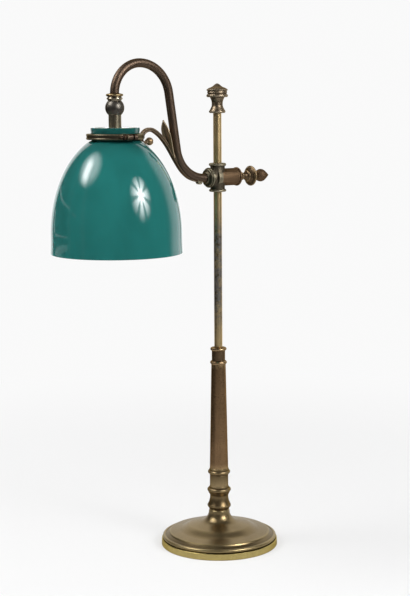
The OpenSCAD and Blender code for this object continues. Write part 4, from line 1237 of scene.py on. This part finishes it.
@dataclass
class Arm:
    """The swan-neck tube, the cup at its root, and the bracket with its scroll and its leaf."""

    shop: Workshop
    neck: NeckLine
    cup: float = 12.1
    cup_back: float = 12.0
    pin: float = 7.4
    strap_width: float = 5.2
    strap_thick: float = 4.1
    rib_width: float = 3.8
    rib_rise: float = 0.35
    groove: float = 0.55
    crest: float = 12.2
    crest_end: float = 62.0
    crest_drop: float = 2.0
    hook: float = 4.4
    hook_start: float = 348.0
    eye: float = 4.7
    handle: float = 1.6
    tail_start: float = 218.0
    tail_end: float = 257.0
    tail_proud: float = 1.3
    tail_knob: float = 3.3
    leaf_root: int = 27
    leaf_width: float = 16.6
    leaf_thick: float = 2.2
    leaf_tip_in: float = 67.2
    leaf_tip_rise: float = 69.4

    def build(self) -> None:
        """Makes and fits the arm's pieces."""
        self.fit_cup()
        self.fit_neck()
        self.fit_bracket()

    def fit_cup(self) -> None:
        """The bell-shaped cup that the tube enters."""
        r, c, tube = self.cup, self.cup_back, self.neck.tube
        mouth = -Span.of("arm_cup").low.x
        line = [(0, 7.5), (4.45, 7.5), (4.45, 11.05), (self.pin, 11.05), (self.pin, c), (r - 1.4, c), (r - 0.4, c + 0.3)]
        line += [(r, c + 0.9), (r - 0.1, c + 1.9), (r - 0.9, c + 2.4)]
        line += bezier((r - 1.1, c + 2.9), (r - 1.5, c + 5), (tube + 3.4, mouth - 2.6), (tube + 1.3, mouth - 0.5), 12)
        line += [(tube + 0.9, mouth), (tube + 0.05, mouth), (tube + 0.05, 14.95), (0, 14.95)]
        centre = Vector((0, 0, self.neck.start[1]))
        self.shop.fit(turned("cup", line, Axis.BACK, centre, closed=False, steps=112), "arm_cup", Finish.CUP)

    def fit_neck(self) -> None:
        """The bent tube."""
        ring = arc((0, 0), self.neck.tube, 0, 360, 40)[:-1]
        self.shop.fit(swept("bent_tube", self.neck.points(), lambda i, share: ring), "swan_neck", Finish.ARM)

    def strap_runs(self) -> tuple[list[Point], list[Point], list[Point], list[Point]]:
        """The strap's line in four runs: a hook under the ring, a crest, a long fall, and a tail under the tube."""
        ring = Span.of("shade_ring")
        face, low = self.neck.axis + ring.high.y, ring.middle.z - 3.3
        crest_c = (face + self.strap_thick / 2 + 0.1 + self.crest, low - self.crest_drop)
        tail_r = self.neck.sweep + self.neck.tube + self.tail_proud - self.strap_thick / 2
        reach, a, b = self.handle * self.crest, math.radians(self.crest_end), math.radians(self.tail_start)
        start = arc(crest_c, self.crest, self.crest_end, self.crest_end, 1)[0]
        stop = arc(self.neck.sweep_centre, tail_r, self.tail_start, self.tail_start, 1)[0]
        away = (start[0] + reach * math.sin(a), start[1] - reach * math.cos(a))
        towards = (stop[0] + reach * math.sin(b), stop[1] - reach * math.cos(b))
        hook = arc((crest_c[0] - self.crest + self.hook, low - 0.8), self.hook, self.hook_start, 184, 18)
        crest = arc(crest_c, self.crest, 178, self.crest_end + 2, 28)
        tail = arc(self.neck.sweep_centre, tail_r, self.tail_start + 2, self.tail_end, 16)
        return hook, crest, bezier(start, away, towards, stop, 36), tail

    def strap_section(self, half: float) -> list[Point]:
        """The strap's section at a half thickness, with a rib along each face and a groove along each side."""
        w, rib, slope = self.strap_width / 2, self.rib_width / 2, 0.2
        side = [(w - self.groove, 0.0), (w, 0.3 * half), (w, half), (rib + slope, half), (rib - slope, half + self.rib_rise)]
        top = side + [(-x, y) for x, y in reversed(side[1:])]
        return soften(top + [(-x, -y) for x, y in top], 0.3, True)

    def strap_painted_shade(self, across: float, rise: float) -> float:
        """How much painted shade a point of the strap's section gets: its grooves and its under face get it."""
        if abs(across) > self.strap_width / 2 - self.groove - 0.1 and abs(rise) < 0.25:
            return 1.0
        return 0.8 if rise < -0.42 * self.strap_thick else 0.0

    def fit_bracket(self) -> None:
        """The strap, its scroll and end knobs, the pad on the ring and the leaf."""
        runs = self.strap_runs()
        line = [point for run in runs for point in run]
        steps = [math.dist(a, b) for a, b in zip(line, line[1:])]
        run = [sum(steps[:i]) for i in range(len(line))]
        half = [self.strap_thick / 2 * min(1.0, 0.5 + r / 22, 0.45 + (run[-1] - r) / 26) for r in run]
        strap = swept("leaf_strap", line, lambda i, share: self.strap_section(half[i]), self.strap_painted_shade)
        eye_z, eye_x = Span.of("shade_ring").middle.z - 3.3 - 0.8 - 2.6, runs[0][-1][0] + self.crest - 0.3
        eye = turned("scroll_eye", self.eye_line(), Axis.UP, Vector((eye_x, 0, eye_z)), closed=False, steps=64)
        tail_r = self.neck.sweep + self.neck.tube + self.tail_proud - self.strap_thick / 2
        at = math.radians(self.tail_end) + math.atan(0.77 * self.tail_knob / tail_r)
        centre = self.neck.sweep_centre
        knob = self.across_bar("tail_knob", self.tail_knob, self.strap_width / 2 + 0.5,
                               (centre[0] + (tail_r + 0.4) * math.cos(at), centre[1] + (tail_r + 0.4) * math.sin(at)))
        ring = Span.of("shade_ring")
        pad = block("ring_pad", (self.neck.axis + ring.high.y + 2, 0, ring.middle.z), (6, 8, 6))
        for piece, finish in ((strap, Finish.LEAF), (eye, Finish.GILT), (knob, Finish.OLIVE), (pad, Finish.DARK),
                              (self.leaf(), Finish.BLADE)):
            self.shop.fit(piece, "leaf_bracket", finish)

    def eye_line(self) -> list[Point]:
        """The scroll's ball, with a fine groove about its waist."""
        r = self.eye
        south = arc((0, 0), r, -90, -8, 16)
        return [(0.0, -r), *south[1:], (r - 0.5, 0), *arc((0, 0), r, 8, 90, 16)[:-1], (0.0, r)]

    def across_bar(self, name: str, radius: float, half: float, place: Point) -> bpy.types.Object:
        """A short turned bar that lies across the arm's plane.

        Args:
            name: The object's name.
            radius: Its radius.
            half: Half its length.
            place: Its middle in the arm's plane.

        Returns:
            The bar.
        """
        line = [(0, -half), (radius - 0.6, -half), *arc((radius - 0.6, -half + 0.6), 0.6, -80, 0, 4),
                *arc((radius - 0.6, half - 0.6), 0.6, 0, 80, 4), (radius - 0.6, half), (0, half)]
        bar = turned(name, line, closed=False, steps=48)
        turn = Matrix.Translation(Vector((place[0], 0, place[1])) * MM) @ Matrix.Rotation(math.pi / 2, 4, "X")
        bar.data.transform(turn)
        settle_normals(bar.data)
        return bar

    def leaf(self) -> bpy.types.Object:
        """The leaf that springs from the strap, with a midrib and side veins in relief."""
        z0 = self.neck.start[1]
        tip = (self.neck.axis + self.leaf_tip_in, z0 + self.leaf_tip_rise)
        spot = self.strap_runs()[2][self.leaf_root]
        root = (spot[0] - 0.24 * self.strap_thick, spot[1] + 0.1 * self.strap_thick)
        rise = tip[1] - root[1]
        rows, half_columns, vein_pitch = 44, 12, 3.0
        line = bezier(root, (root[0] - 0.143 * rise, root[1] + 0.395 * rise),
                      (tip[0] + 0.07 * rise, tip[1] - 0.35 * rise), (tip[0], tip[1] + 0.013 * rise), rows)
        verts, faces, proud, hollow = [], [], [], []
        count = 2 * half_columns + 1
        for i, (x, z) in enumerate(line):
            a, b = line[max(i - 1, 0)], line[min(i + 1, rows)]
            way = Vector((b[0] - a[0], b[1] - a[1])).normalized()
            level = (z - root[1] + 0.022 * rise) / (1.03 * rise)
            width = self.leaf_width / 2 * leaf_swell(level)
            for front in (1, -1):
                for k in range(count):
                    u = (k - half_columns) / half_columns
                    thick = self.leaf_thick / 2 * (1 - 0.6 * u * u)
                    rib = math.exp(-((u / 0.13) ** 2))
                    wave = 0.5 + 0.5 * math.cos(2 * math.pi * (z - 0.9 * abs(u) * width - root[1]) / vein_pitch)
                    vein = (wave**3) * (1 - rib) * min(1.0, 3 * (1 - abs(u)))
                    rise_out = front * (thick - (0.45 * rib + 0.22 * vein) * (1 if front > 0 else 0))
                    verts.append((x - way.y * rise_out, u * width, z + way.x * rise_out))
                    # The midrib and the veins count as hollow, so the finish paints shade and grime into them.
                    hollow.append(min(1.0, 0.9 * rib + 0.75 * vein))
                    proud.append(0.5 * max(0.0, abs(u) - 0.8) / 0.2)
        for i in range(rows):
            a, b = 2 * count * i, 2 * count * (i + 1)
            for k in range(count - 1):
                faces.append((a + k, a + k + 1, b + k + 1, b + k))
                faces.append((a + count + k, b + count + k, b + count + k + 1, a + count + k + 1))
            for k in (0, count - 1):
                faces.append((a + k, b + k, b + count + k, a + count + k))
        for a in (0, 2 * count * rows):
            faces.append([a + k for k in range(count)] + [a + count + k for k in reversed(range(count))])
        mesh = bpy.data.meshes.new("leaf_blade")
        mesh.from_pydata(verts, [], faces)
        add_measure(mesh, "proud", np.array(proud))
        add_measure(mesh, "hollow", np.array(hollow))
        finish_mesh(mesh)
        mesh.transform(Matrix.Scale(MM, 4))
        settle_normals(mesh)
        return new_object("leaf_blade", mesh)


def leaf_swell(level: float) -> float:
    """Half width of the leaf at a share of its height, from its stalk through its belly to its tip."""
    belly = 0.62
    if level < belly:
        return 0.42 + 0.58 * ease(level / belly)
    return max(0.02, math.cos(math.pi / 2 * ((min(level, 1.0) - belly) / (1 - belly)) ** 1.25))


def block(name: str, centre: Sequence[float], size: Sequence[float], edge: float = 0.5) -> bpy.types.Object:
    """A block with softened edges.

    Args:
        name: The object's name.
        centre: Its middle, in millimetres.
        size: Its length along X, Y and Z.
        edge: The width of its softened edges.

    Returns:
        The block.
    """
    mesh = bpy.data.meshes.new(name)
    work = bmesh.new()
    bmesh.ops.create_cube(work, size=1, matrix=Matrix.Diagonal((*size, 1)))
    work.to_mesh(mesh)
    work.free()
    mesh.transform(Matrix.Scale(MM, 4) @ Matrix.Translation(Vector(centre)))
    return bevelled(new_object(name, mesh), edge)


@dataclass
class ShadeRing:
    """The split ring that grips the shade's neck, with its lugs, washer, screw and turned handle."""

    shop: Workshop
    bore: float = 26.5
    half: float = 3.3
    lug: float = 3.5
    split: float = -0.6
    split_width: float = 1.5
    screw: float = 1.6
    handle: float = 9.6
    washer: float = 0.9
    lug_right: float = 4.8

    def build(self) -> None:
        """Makes and fits the ring's pieces."""
        span = Span.of("shade_ring")
        self.centre = Vector((Span.of("shade_casing").middle.x, 0, span.middle.z))
        self.radius = span.high.y
        self.lug_y = -span.low.y - self.lug
        self.lug_left = Span.of("ring_washer").high.x + 0.05 - self.centre.x
        self.fit_ring()
        self.fit_handle()
        self.shop.dress("ring_screw", Finish.DARK)

    def out(self, name: str, line: Sequence[Point], start: float, axis: Axis, closed: bool) -> bpy.types.Object:
        """Turns an outline about the screw's line.

        Args:
            name: The object's name.
            line: The outline.
            start: Where its zero height lies along X from the shade's axis.
            axis: Which way its heights run.
            closed: Whether the last point joins the first.

        Returns:
            The object.
        """
        place = self.centre + Vector((start, -self.lug_y, 0))
        return turned(name, line, axis, place, closed, steps=56, edge=0.2)

    def fit_ring(self) -> None:
        """The ring with its two lugs."""
        r, h = self.radius, self.half
        side = [(self.bore, -h), (r - 0.7, -h), (r, 0.7 - h), (r, 1.6 - h), (r - 0.4, 2.1 - h)]
        line = side + [(x, -z) for x, z in reversed(side)]
        ring = turned("split_ring", line, Axis.UP, self.centre, steps=160)
        width = self.lug_right - self.lug_left
        lugs = self.out("lugs", [(0, 0), (self.lug, 0), (self.lug, width), (0, width)], self.lug_left, Axis.OUT, False)
        depth = self.lug_y - r + 2.4
        middle = self.centre + Vector(((self.lug_left + self.lug_right) / 2, -self.lug_y + depth / 2, 0))
        cheeks = block("cheeks", middle, (width, depth, 2 * self.lug - 0.6), 0.3)
        inside = r - 0.4
        hollow = turned("hollow", [(0, -9), (inside, -9), (inside, 9), (0, 9)], Axis.UP, self.centre, False, 160, 0.01)
        bore = self.out("way", [(0, -2), (self.screw + 0.05, -2), (self.screw + 0.05, width + 2), (0, width + 2)],
                        self.lug_left, Axis.OUT, False)
        lugs = carved(lugs, [(cheeks, Carve.JOIN), (hollow, Carve.CUT), (self.slit("slit_lugs"), Carve.CUT),
                             (bore, Carve.CUT)])
        ring = carved(ring, [(self.slit("slit_ring"), Carve.CUT)])
        for piece, finish in ((ring, Finish.RING), (lugs, Finish.LUG)):
            settle_by_angle(piece.data)
            self.shop.fit(piece, "shade_ring", finish)

    def slit(self, name: str) -> bpy.types.Object:
        """The block that splits the ring and its lugs."""
        middle = -(self.lug_y + self.lug + 1 + self.bore) / 2 + 4
        size = (self.split_width, self.lug_y + self.lug - self.bore + 8, 20)
        return block(name, self.centre + Vector((self.split, middle, 0)), size, 0.01)

    def fit_handle(self) -> None:
        """The washer and the small turned handle."""
        washer = [(self.screw + 0.05, 0.05), (self.lug - 0.3, 0.05), (self.lug - 0.3, self.washer),
                  (self.screw + 0.05, self.washer)]
        self.shop.fit(self.out("washer", washer, self.lug_left, Axis.BACK, True), "ring_washer", Finish.RING)
        s, end = self.washer + 0.05, self.washer + 0.05 + self.handle
        line = [(self.screw + 0.05, s), (2.4, s), (2.9, s + 0.4), (2.9, s + 0.9), (2.1, s + 1.3)]
        line += arc((1.2, s + 3.4), 2.0, -65, 60, 12) + [(1.7, s + 5.6), (1.6, s + 6.2)]
        line += arc((0.6, s + 7.8), 1.7, -55, 50, 10) + [(0.8, end - 0.2), (0, end), (0, s + 4.1),
                                                         (self.screw + 0.05, s + 4.1)]
        self.shop.fit(self.out("handle", line, self.lug_left, Axis.BACK, True), "ring_handle", Finish.HANDLE)


@dataclass
class Lampholder:
    """What hangs from the neck: the flange, the lock ring, the ball, the drop tube and the lampholder."""

    shop: Workshop
    drop: float = 7.3
    drop_bore: float = 6.0
    bore: float = 3.8
    holder: float = 14.8
    wall: float = 1.1

    def build(self) -> None:
        """Makes and fits the lampholder's pieces."""
        self.axis = Vector((Span.of("shade_casing").middle.x, 0, 0))
        self.fit_flange()
        self.fit_lock()
        self.fit_ball()
        self.fit_drop()
        self.fit_cap()
        plain = {
            Finish.LOCK: ("holder_shell", "holder_skirt", "contact_plungers", "terminal_screws"),
            Finish.CERAMIC: ("holder_insulator",),
        }
        for finish, nodes in plain.items():
            for node in nodes:
                self.shop.dress(node, finish)

    def fit_flange(self) -> None:
        """The flange that ends the neck."""
        span, tube = Span.of("neck_flange"), Span.of("swan_neck").radius
        low, r = span.low.z, span.radius
        line = [(self.bore, low), (r - 1.2, low), *arc((r - 1.4, low + 1.6), 1.4, -70, 80, 10),
                (tube + 1.2, span.high.z - 0.3), (tube + 0.05, span.high.z), (tube + 0.05, low + 0.35),
                (self.bore, low + 0.35)]
        self.shop.fit(turned("flange", line, Axis.UP, self.axis), "neck_flange", Finish.TURNED)

    def fit_lock(self) -> None:
        """The polished lock ring."""
        span = Span.of("lock_ring")
        low, top, r = span.low.z, span.high.z, span.radius
        line = [(self.bore, low), (r - 1.4, low), *arc((r - 1.3, (low + top) / 2), 1.3, -80, 80, 12), (r - 1.4, top),
                (self.bore, top)]
        self.shop.fit(turned("lock", line, Axis.UP, self.axis), "lock_ring", Finish.LOCK)

    def fit_ball(self) -> None:
        """The ball joint's ball."""
        span = Span.of("knuckle_ball")
        low, top, r = span.low.z, span.high.z, span.radius
        middle = low + math.sqrt(r * r - (self.drop + 0.3) ** 2)
        start, end = (math.degrees(math.asin((z - middle) / r)) for z in (low, top))
        line = [(self.bore, low + 5), (self.drop + 0.05, low + 5), (self.drop + 0.05, low),
                *arc((0, middle), r, start, end, 40), (self.bore, top)]
        self.shop.fit(turned("ball", line, Axis.UP, self.axis, steps=112, edge=0.15), "knuckle_ball", Finish.DARK)

    def fit_drop(self) -> None:
        """The tube from the ball down into the shade."""
        span, count = Span.of("drop_tube"), 12
        heights = [span.low.z + (span.high.z - span.low.z) * i / count for i in range(count + 1)]
        line = [(self.drop, z) for z in heights] + [(self.drop_bore, z) for z in reversed(heights)]
        self.shop.fit(turned("drop", line, Axis.UP, self.axis, steps=80, edge=0.15), "drop_tube", Finish.DROP)

    def fit_cap(self) -> None:
        """The lampholder's domed cap."""
        z, low, drop, r = Span.of("holder_cap").high.z, Span.of("holder_cap").low.z, self.drop, self.holder
        line = [(drop + 0.05, z), (drop + 1.6, z), (drop + 1.6, z - 5), (drop + 2.6, z - 6.4)]
        line += bezier((12.2, z - 9.2), (13.6, z - 10.6), (r, z - 12.6), (r, z - 15.5), 8)
        line += [(r, low), (r - self.wall, low), (r - self.wall, z - 15.2), (13, z - 12.6), (11.4, z - 10.2),
                 (drop + 1.6, z - 7.4), (self.drop_bore, z - 7.4), (self.drop_bore, z - 4.1), (drop + 0.05, z - 4.1)]
        self.shop.fit(turned("holder_dome", line, Axis.UP, self.axis), "holder_cap", Finish.TURNED)


@dataclass
class Bulb:
    """The bayonet bulb inside the shade."""

    shop: Workshop
    wall: float = 0.6
    meet: float = 48.0

    def build(self) -> None:
        """Makes the glass and dresses the cap."""
        span, cap = Span.of("bulb_glass"), Span.of("bulb_cap")
        r, neck = span.radius, 10.15
        axis = Vector((span.middle.x, 0, 0))
        c, top, low = span.low.z + r, span.high.z, cap.low.z
        outer, inner = arc((0, c), r, -90, self.meet, 40), arc((0, c), r - self.wall, -90, self.meet, 40)
        throat_out, throat_in = outer[-1], inner[-1]
        shoulder = bezier(throat_out, (throat_out[0] - 4.5, throat_out[1] + 4), (neck, low - 8), (neck, low - 0.1), 10)
        inside = bezier(throat_in, (throat_in[0] - 4.5, throat_in[1] + 4), (neck - self.wall, low - 8),
                        (neck - self.wall, low - 0.4), 10)
        line = [(0.0, c - r), *outer[1:], *shoulder[1:], (neck, top), (neck - self.wall, top), *reversed(inside[1:]),
                *reversed(inner[1:]), (0.0, c - r + self.wall)]
        self.shop.fit(turned("bulb", line, Axis.UP, axis, closed=False, edge=0.1), "bulb_glass", Finish.PEARL)
        self.shop.dress("bulb_cap", Finish.TIN)


@dataclass
class Shade:
    """The bell-shaped shade: green glass cased over white."""

    shop: Workshop
    belly: float = 75.9
    belly_rise: float = 21.2
    lip: float = 28.3
    lip_height: float = 6.9
    neck: float = 26.3
    ring_height: float = 6.6
    run: float = 9.7
    green: float = 1.6
    white: float = 1.2
    gap: float = 0.05

    def build(self) -> None:
        """Makes and fits the two layers of glass."""
        span = Span.of("shade_casing")
        self.axis = Vector((span.middle.x, 0, 0))
        self.rim, self.mouth_z, self.mouth = span.high.z, span.low.z, span.radius
        inner = self.green + self.gap
        self.fit_layer("green_layer", "shade_casing", 0.0, self.green, Finish.GREEN_GLASS)
        self.fit_layer("white_layer", "shade_lining", inner, inner + self.white, Finish.OPAL_GLASS)

    def fit_layer(self, name: str, node: str, outer: float, inner: float, finish: Finish) -> None:
        """One layer of glass between two depths from the outer face."""
        line = self.side(outer) + list(reversed(self.side(inner)))
        layer = turned(name, line, Axis.UP, self.axis, steps=224, edge=0.5, wobble=self.blown)
        self.shop.fit(layer, node, finish)

    def side(self, depth: float) -> list[Point]:
        """The glass's outline at a depth from its outer face, from its rim down to its mouth."""
        ring_top = self.rim - self.lip_height
        shoulder = ring_top - self.ring_height - 1.2
        belly_z, n, d = self.mouth_z + self.belly_rise, self.neck, depth
        share = (n + self.run) / self.belly
        dome = (shoulder - 5.2 - belly_z) / math.sqrt(1 - share**2)
        start, count = math.acos(share), 72
        line = [(self.lip - d, self.rim), (self.lip - d, self.rim - 2.2), (self.lip - 0.5 - d, ring_top + 0.1),
                (n - d, ring_top + 0.1 - 0.5 * d), (n - d, shoulder + 1 - d)]
        line += bezier((n + 1.2 - d, shoulder - d), (n + 4 - 0.9 * d, shoulder - 0.6 - d),
                       (n + 6.4 - 0.75 * d, shoulder - 2.4 - d),
                       ((self.belly - d) * share, belly_z + (dome - d) * math.sin(start)), 10)
        for i in range(1, count + 1):
            a = start * (1 - i / count)
            line.append(((self.belly - d) * math.cos(a), belly_z + (dome - d) * math.sin(a)))
        flare = self.mouth - self.belly
        for k in range(1, 9):
            t = k / 8
            line.append((self.belly - d + flare * t * t, belly_z - self.belly_rise * t))
        return line

    def blown(self, radius: float, height: float, angle: float) -> float:
        """The small unevenness of blown glass, which never reaches past the true form."""
        reach = min(1.0, max(0.0, (radius - 32) / 12)) * 0.10
        return reach * (0.6 * math.sin(2 * angle + height / 27) + 0.4 * math.sin(3 * angle - height / 19 + 1) - 1)


@dataclass
class Studio:
    """The pale floor, the softboxes, the dark side of the room and the camera."""

    focal: float = 87.34
    sensor: float = 36.0
    azimuth: float = -36.5
    down: float = 8.143
    roll: float = -0.361
    eye: Vector = field(default_factory=lambda: Vector((-1.0539, -1.3972, 0.5599)))
    aim: Vector = field(default_factory=lambda: Vector((-0.07, 0.0, 0.36)))
    white: float = 0.952
    ambient: float = 0.56
    overhead: float = 0.32
    right_edge: float = 97.0
    edge_right: float = 30.0
    left_edge: float = -134.0
    edge_left: float = 12.0
    ceiling: float = 34.0
    ceiling_edge: float = 20.0
    ceiling_behind: float = 32.0
    near: float = 0.9
    nearer_left: float = 0.45
    dim: float = 0.09
    backdrop: float = 1.3

    def build(self) -> None:
        """Sets up everything round the lamp."""
        scene = bpy.context.scene
        scene.view_settings.view_transform = "Standard"
        self.add_camera()
        self.set_world()
        self.add_floor()
        self.add_room()
        self.add_stands()
        self.add_softbox("softbox_right", 14.5, 24.0, 2.1, (1.65, 1.65), 54.0, star=True)
        self.add_softbox("softbox_left", -112, 48, 2.1, (2.0, 1.55), 46.0, star=False)

    def add_camera(self) -> None:
        """The camera at the photograph's angle."""
        lens = bpy.data.cameras.new("camera")
        lens.lens, lens.sensor_fit, lens.sensor_height = self.focal, "VERTICAL", self.sensor
        lens.clip_end = 100
        camera = bpy.data.objects.new("camera", lens)
        turn = Matrix.Rotation(math.radians(self.azimuth), 4, "Z")
        tip = Matrix.Rotation(math.radians(90 - self.down), 4, "X")
        camera.matrix_world = Matrix.Translation(self.eye) @ turn @ tip @ Matrix.Rotation(math.radians(self.roll), 4, "Z")
        bpy.context.scene.collection.objects.link(camera)
        bpy.context.scene.camera = camera

    def seen(self, g: Graph) -> bpy.types.NodeSocket:
        """Is 1 for rays that show the background, straight, mirrored or through glass."""
        path = g.add("ShaderNodeLightPath").outputs
        pair = g.math("MAXIMUM", path["Is Camera Ray"], path["Is Glossy Ray"])
        return g.math("MAXIMUM", pair, path["Is Transmission Ray"])

    def set_world(self) -> None:
        """A white background, and a soft light from all round that is weaker from above."""
        world = bpy.data.worlds.new("studio")
        world.use_nodes = True
        bpy.context.scene.world = world
        g = Graph(world.node_tree)
        rise = g.add("ShaderNodeSeparateXYZ", {0: g.add("ShaderNodeTexCoord").outputs["Generated"]}).outputs["Z"]
        soft = g.ramp(rise, 0.1, 0.9, self.ambient, self.overhead)
        strength = g.add("ShaderNodeMix", {0: self.seen(g), 2: soft, 3: self.white}).outputs[0]
        sky = g.add("ShaderNodeBackground", {"Color": (1, 1, 1, 1), "Strength": strength})
        g.add("ShaderNodeOutputWorld", {"Surface": sky.outputs["Background"]})

    def add_floor(self) -> None:
        """A pale floor that keeps the shadow and fades into the background."""
        mesh = bpy.data.meshes.new("floor")
        work = bmesh.new()
        bmesh.ops.create_circle(work, cap_ends=True, segments=96, radius=4)
        work.to_mesh(mesh)
        work.free()
        floor = new_object("floor", mesh)
        made, g = new_material("pale_floor")
        paper = g.add("ShaderNodeBsdfDiffuse", {"Color": (0.76, 0.76, 0.76, 1)})
        glow = g.add("ShaderNodeEmission", {"Color": (1, 1, 1, 1), "Strength": self.white})
        away = g.add("ShaderNodeVectorMath", {0: g.place()}, operation="LENGTH").outputs["Value"]
        veil = g.math("MULTIPLY", self.seen(g), g.ramp(away, 0.15, 1.1, 0.55, 1.0))
        mix = g.add("ShaderNodeMixShader", {0: veil, 1: paper.outputs["BSDF"], 2: glow.outputs["Emission"]})
        g.add("ShaderNodeOutputMaterial", {"Surface": mix.outputs["Shader"]})
        mesh.materials.append(made)

    def add_room(self) -> None:
        """The room that only polished surfaces show: dark, with a pale backdrop behind the lamp."""
        radius, columns, rows, lowest = 3.4, 120, 24, -5.0
        verts, faces, pale = [], [], []
        for i in range(columns + 1):
            turn = 360 * i / columns - 180
            a = math.radians(turn + self.azimuth)
            side = ease((turn - self.right_edge) / self.edge_right) + ease((self.left_edge - turn) / self.edge_left)
            around = Vector((math.sin(a), -math.cos(a), 0))
            near = self.near - self.nearer_left * ease((turn + 165) / 20) * ease((-40 - turn) / 20)
            verts.append(around * near + Vector((0, 0, 0.002)))
            pale.append(min(1.0, side))
            for k in range(rows + 1):
                height = lowest + (90 - lowest) * k / rows
                e = math.radians(height)
                verts.append(around * radius * math.cos(e) + Vector((0, 0, radius * math.sin(e) + 0.3)))
                ceiling = self.ceiling + self.ceiling_behind * ease((abs(turn) - 140) / 25)
                pale.append(min(1.0, side) * (1 - ease((height - ceiling) / self.ceiling_edge)))
        step = rows + 2
        for i in range(columns):
            for k in range(step - 1):
                a, b = i * step + k, (i + 1) * step + k
                faces.append([a, b, b + 1, a + 1])
        mesh = bpy.data.meshes.new("room")
        mesh.from_pydata(verts, [], faces)
        add_measure(mesh, "pale", np.array(pale))
        room = new_object("room", mesh)
        made, g = new_material("dim_room")
        glow = g.ramp(g.measure("pale"), 0, 1, self.dim, self.backdrop)
        shine = g.add("ShaderNodeEmission", {"Color": (1, 1, 1, 1), "Strength": glow})
        g.add("ShaderNodeOutputMaterial", {"Surface": shine.outputs["Emission"]})
        mesh.materials.append(made)
        self.stage_for_gloss(room)

    def stage_for_gloss(self, piece: bpy.types.Object) -> None:
        """Keeps a piece of the studio out of sight except in polished surfaces."""
        piece.visible_camera = piece.visible_diffuse = piece.visible_transmission = False
        piece.visible_shadow = piece.visible_volume_scatter = False

    def add_stands(self) -> None:
        """The studio's stands and a low table, which the shade mirrors faintly."""
        shade, reach = Vector((-0.146, 0, 0.44)), 2.6
        bars = (((-133, 31), (-121, -7), 1.6, 0.5), ((-174, 9), (-125, 11), 1.6, 0.7), ((-172, 2), (-168, -5), 2.4, 1.2),
                ((-166, -5.4), (-126, -5.4), 1.0, 0.6), ((-98, 36), (-92, -7), 8.0, 0.22), ((-108, 8), (-119, 9), 1.4, 0.6))
        verts, faces, glow = [], [], []
        for (a0, e0), (a1, e1), width, bright in bars:
            count = 12
            level = abs(a1 - a0) > abs(e1 - e0)
            shift = (0, width / 2) if level else (width / 2, 0)
            for i in range(count + 1):
                t = i / count
                for side in (-1, 1):
                    a = math.radians(a0 + (a1 - a0) * t + side * shift[0])
                    e = math.radians(e0 + (e1 - e0) * t + side * shift[1])
                    way = Vector((math.sin(a) * math.cos(e), -math.cos(a) * math.cos(e), math.sin(e)))
                    verts.append(shade + way * reach)
                    glow.append(bright)
                if i:
                    n = len(verts)
                    faces.append([n - 4, n - 3, n - 1, n - 2])
        mesh = bpy.data.meshes.new("stands")
        mesh.from_pydata(verts, [], faces)
        add_measure(mesh, "glow", np.array(glow))
        made, g = new_material("dim_stands")
        shine = g.add("ShaderNodeEmission", {"Color": (1, 1, 1, 1), "Strength": g.measure("glow")})
        g.add("ShaderNodeOutputMaterial", {"Surface": shine.outputs["Emission"]})
        mesh.materials.append(made)
        self.stage_for_gloss(new_object("stands", mesh))

    def add_softbox(
        self, name: str, azimuth: float, height: float, distance: float, size: tuple[float, float], power: float, star: bool
    ) -> None:
        """A soft lamp that faces the shade.

        Args:
            name: Its name.
            azimuth: Its direction round the lamp, in degrees from the front.
            height: Its height above the horizon, in degrees.
            distance: How far off it stands, in metres.
            size: Its width and height, in metres.
            power: Its power, in watts.
            star: Whether it shows the ribs of an umbrella.
        """
        lamp = bpy.data.lights.new(name, "AREA")
        lamp.shape, lamp.size, lamp.size_y, lamp.energy = "ELLIPSE", size[0], size[1], power
        a, e = math.radians(azimuth), math.radians(height)
        way = Vector((math.sin(a) * math.cos(e), -math.cos(a) * math.cos(e), math.sin(e)))
        holder = bpy.data.objects.new(name, lamp)
        holder.location = self.aim + way * distance
        holder.rotation_euler = way.to_track_quat("Z", "Y").to_euler()
        lamp.use_nodes = True
        g = Graph(lamp.node_tree)
        flat = g.add("ShaderNodeNewGeometry").outputs["Parametric"]
        middle = (0.5, 0.58, 0.0) if star else (0.5, 0.5, 0.0)
        offset = g.add("ShaderNodeVectorMath", {0: flat, 1: middle}, operation="SUBTRACT").outputs["Vector"]
        axes = g.add("ShaderNodeSeparateXYZ", {0: offset}).outputs
        away = g.add("ShaderNodeVectorMath", {0: offset}, operation="LENGTH").outputs["Value"]
        if star:
            angle = g.math("ARCTAN2", axes["Y"], axes["X"])
            rib = g.math("ABSOLUTE", g.math("COSINE", g.math("MULTIPLY", angle, 3.5)))
            body = g.math("MULTIPLY", g.ramp(away, 0.06, 0.5, 1.7, 0.0), g.ramp(rib, 0.15, 0.9, 0.35, 1.5))
            core = g.ramp(away, 0.0, 0.19, 2.6, 0.0)
        else:
            body = g.ramp(away, 0.2, 0.5, 0.95, 0.0)
            slant = g.math("ADD", g.math("ADD", axes["X"], g.math("MULTIPLY", axes["Y"], 0.3)), 0.06)
            along = g.math("ABSOLUTE", g.math("ADD", axes["Y"], 0.12))
            core = g.math("MULTIPLY", g.ramp(g.math("ABSOLUTE", slant), 0.02, 0.21, 2.1, 0.0),
                          g.ramp(along, 0.1, 0.34, 1.0, 0.0))
        glow = g.math("ADD", body, core)
        shine = g.add("ShaderNodeEmission", {"Color": (1, 1, 1, 1), "Strength": glow})
        g.add("ShaderNodeOutputLight", {"Surface": shine.outputs["Emission"]})
        bpy.context.scene.collection.objects.link(holder)


def main() -> None:
    """Builds the lamp round its frame, and the studio round the lamp."""
    logging.basicConfig(level=logging.INFO, format="%(name)s: %(message)s")
    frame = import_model()
    shop = Workshop(frame)
    parts = (
        Foot(shop), Column(shop), StemRod(shop), Slider(shop), Arm(shop, NeckLine.from_frame()), ShadeRing(shop),
        Lampholder(shop), Bulb(shop), Shade(shop),
    )
    for part in parts:
        part.build()
    Studio().build()


if __name__ == "__main__":
    main()
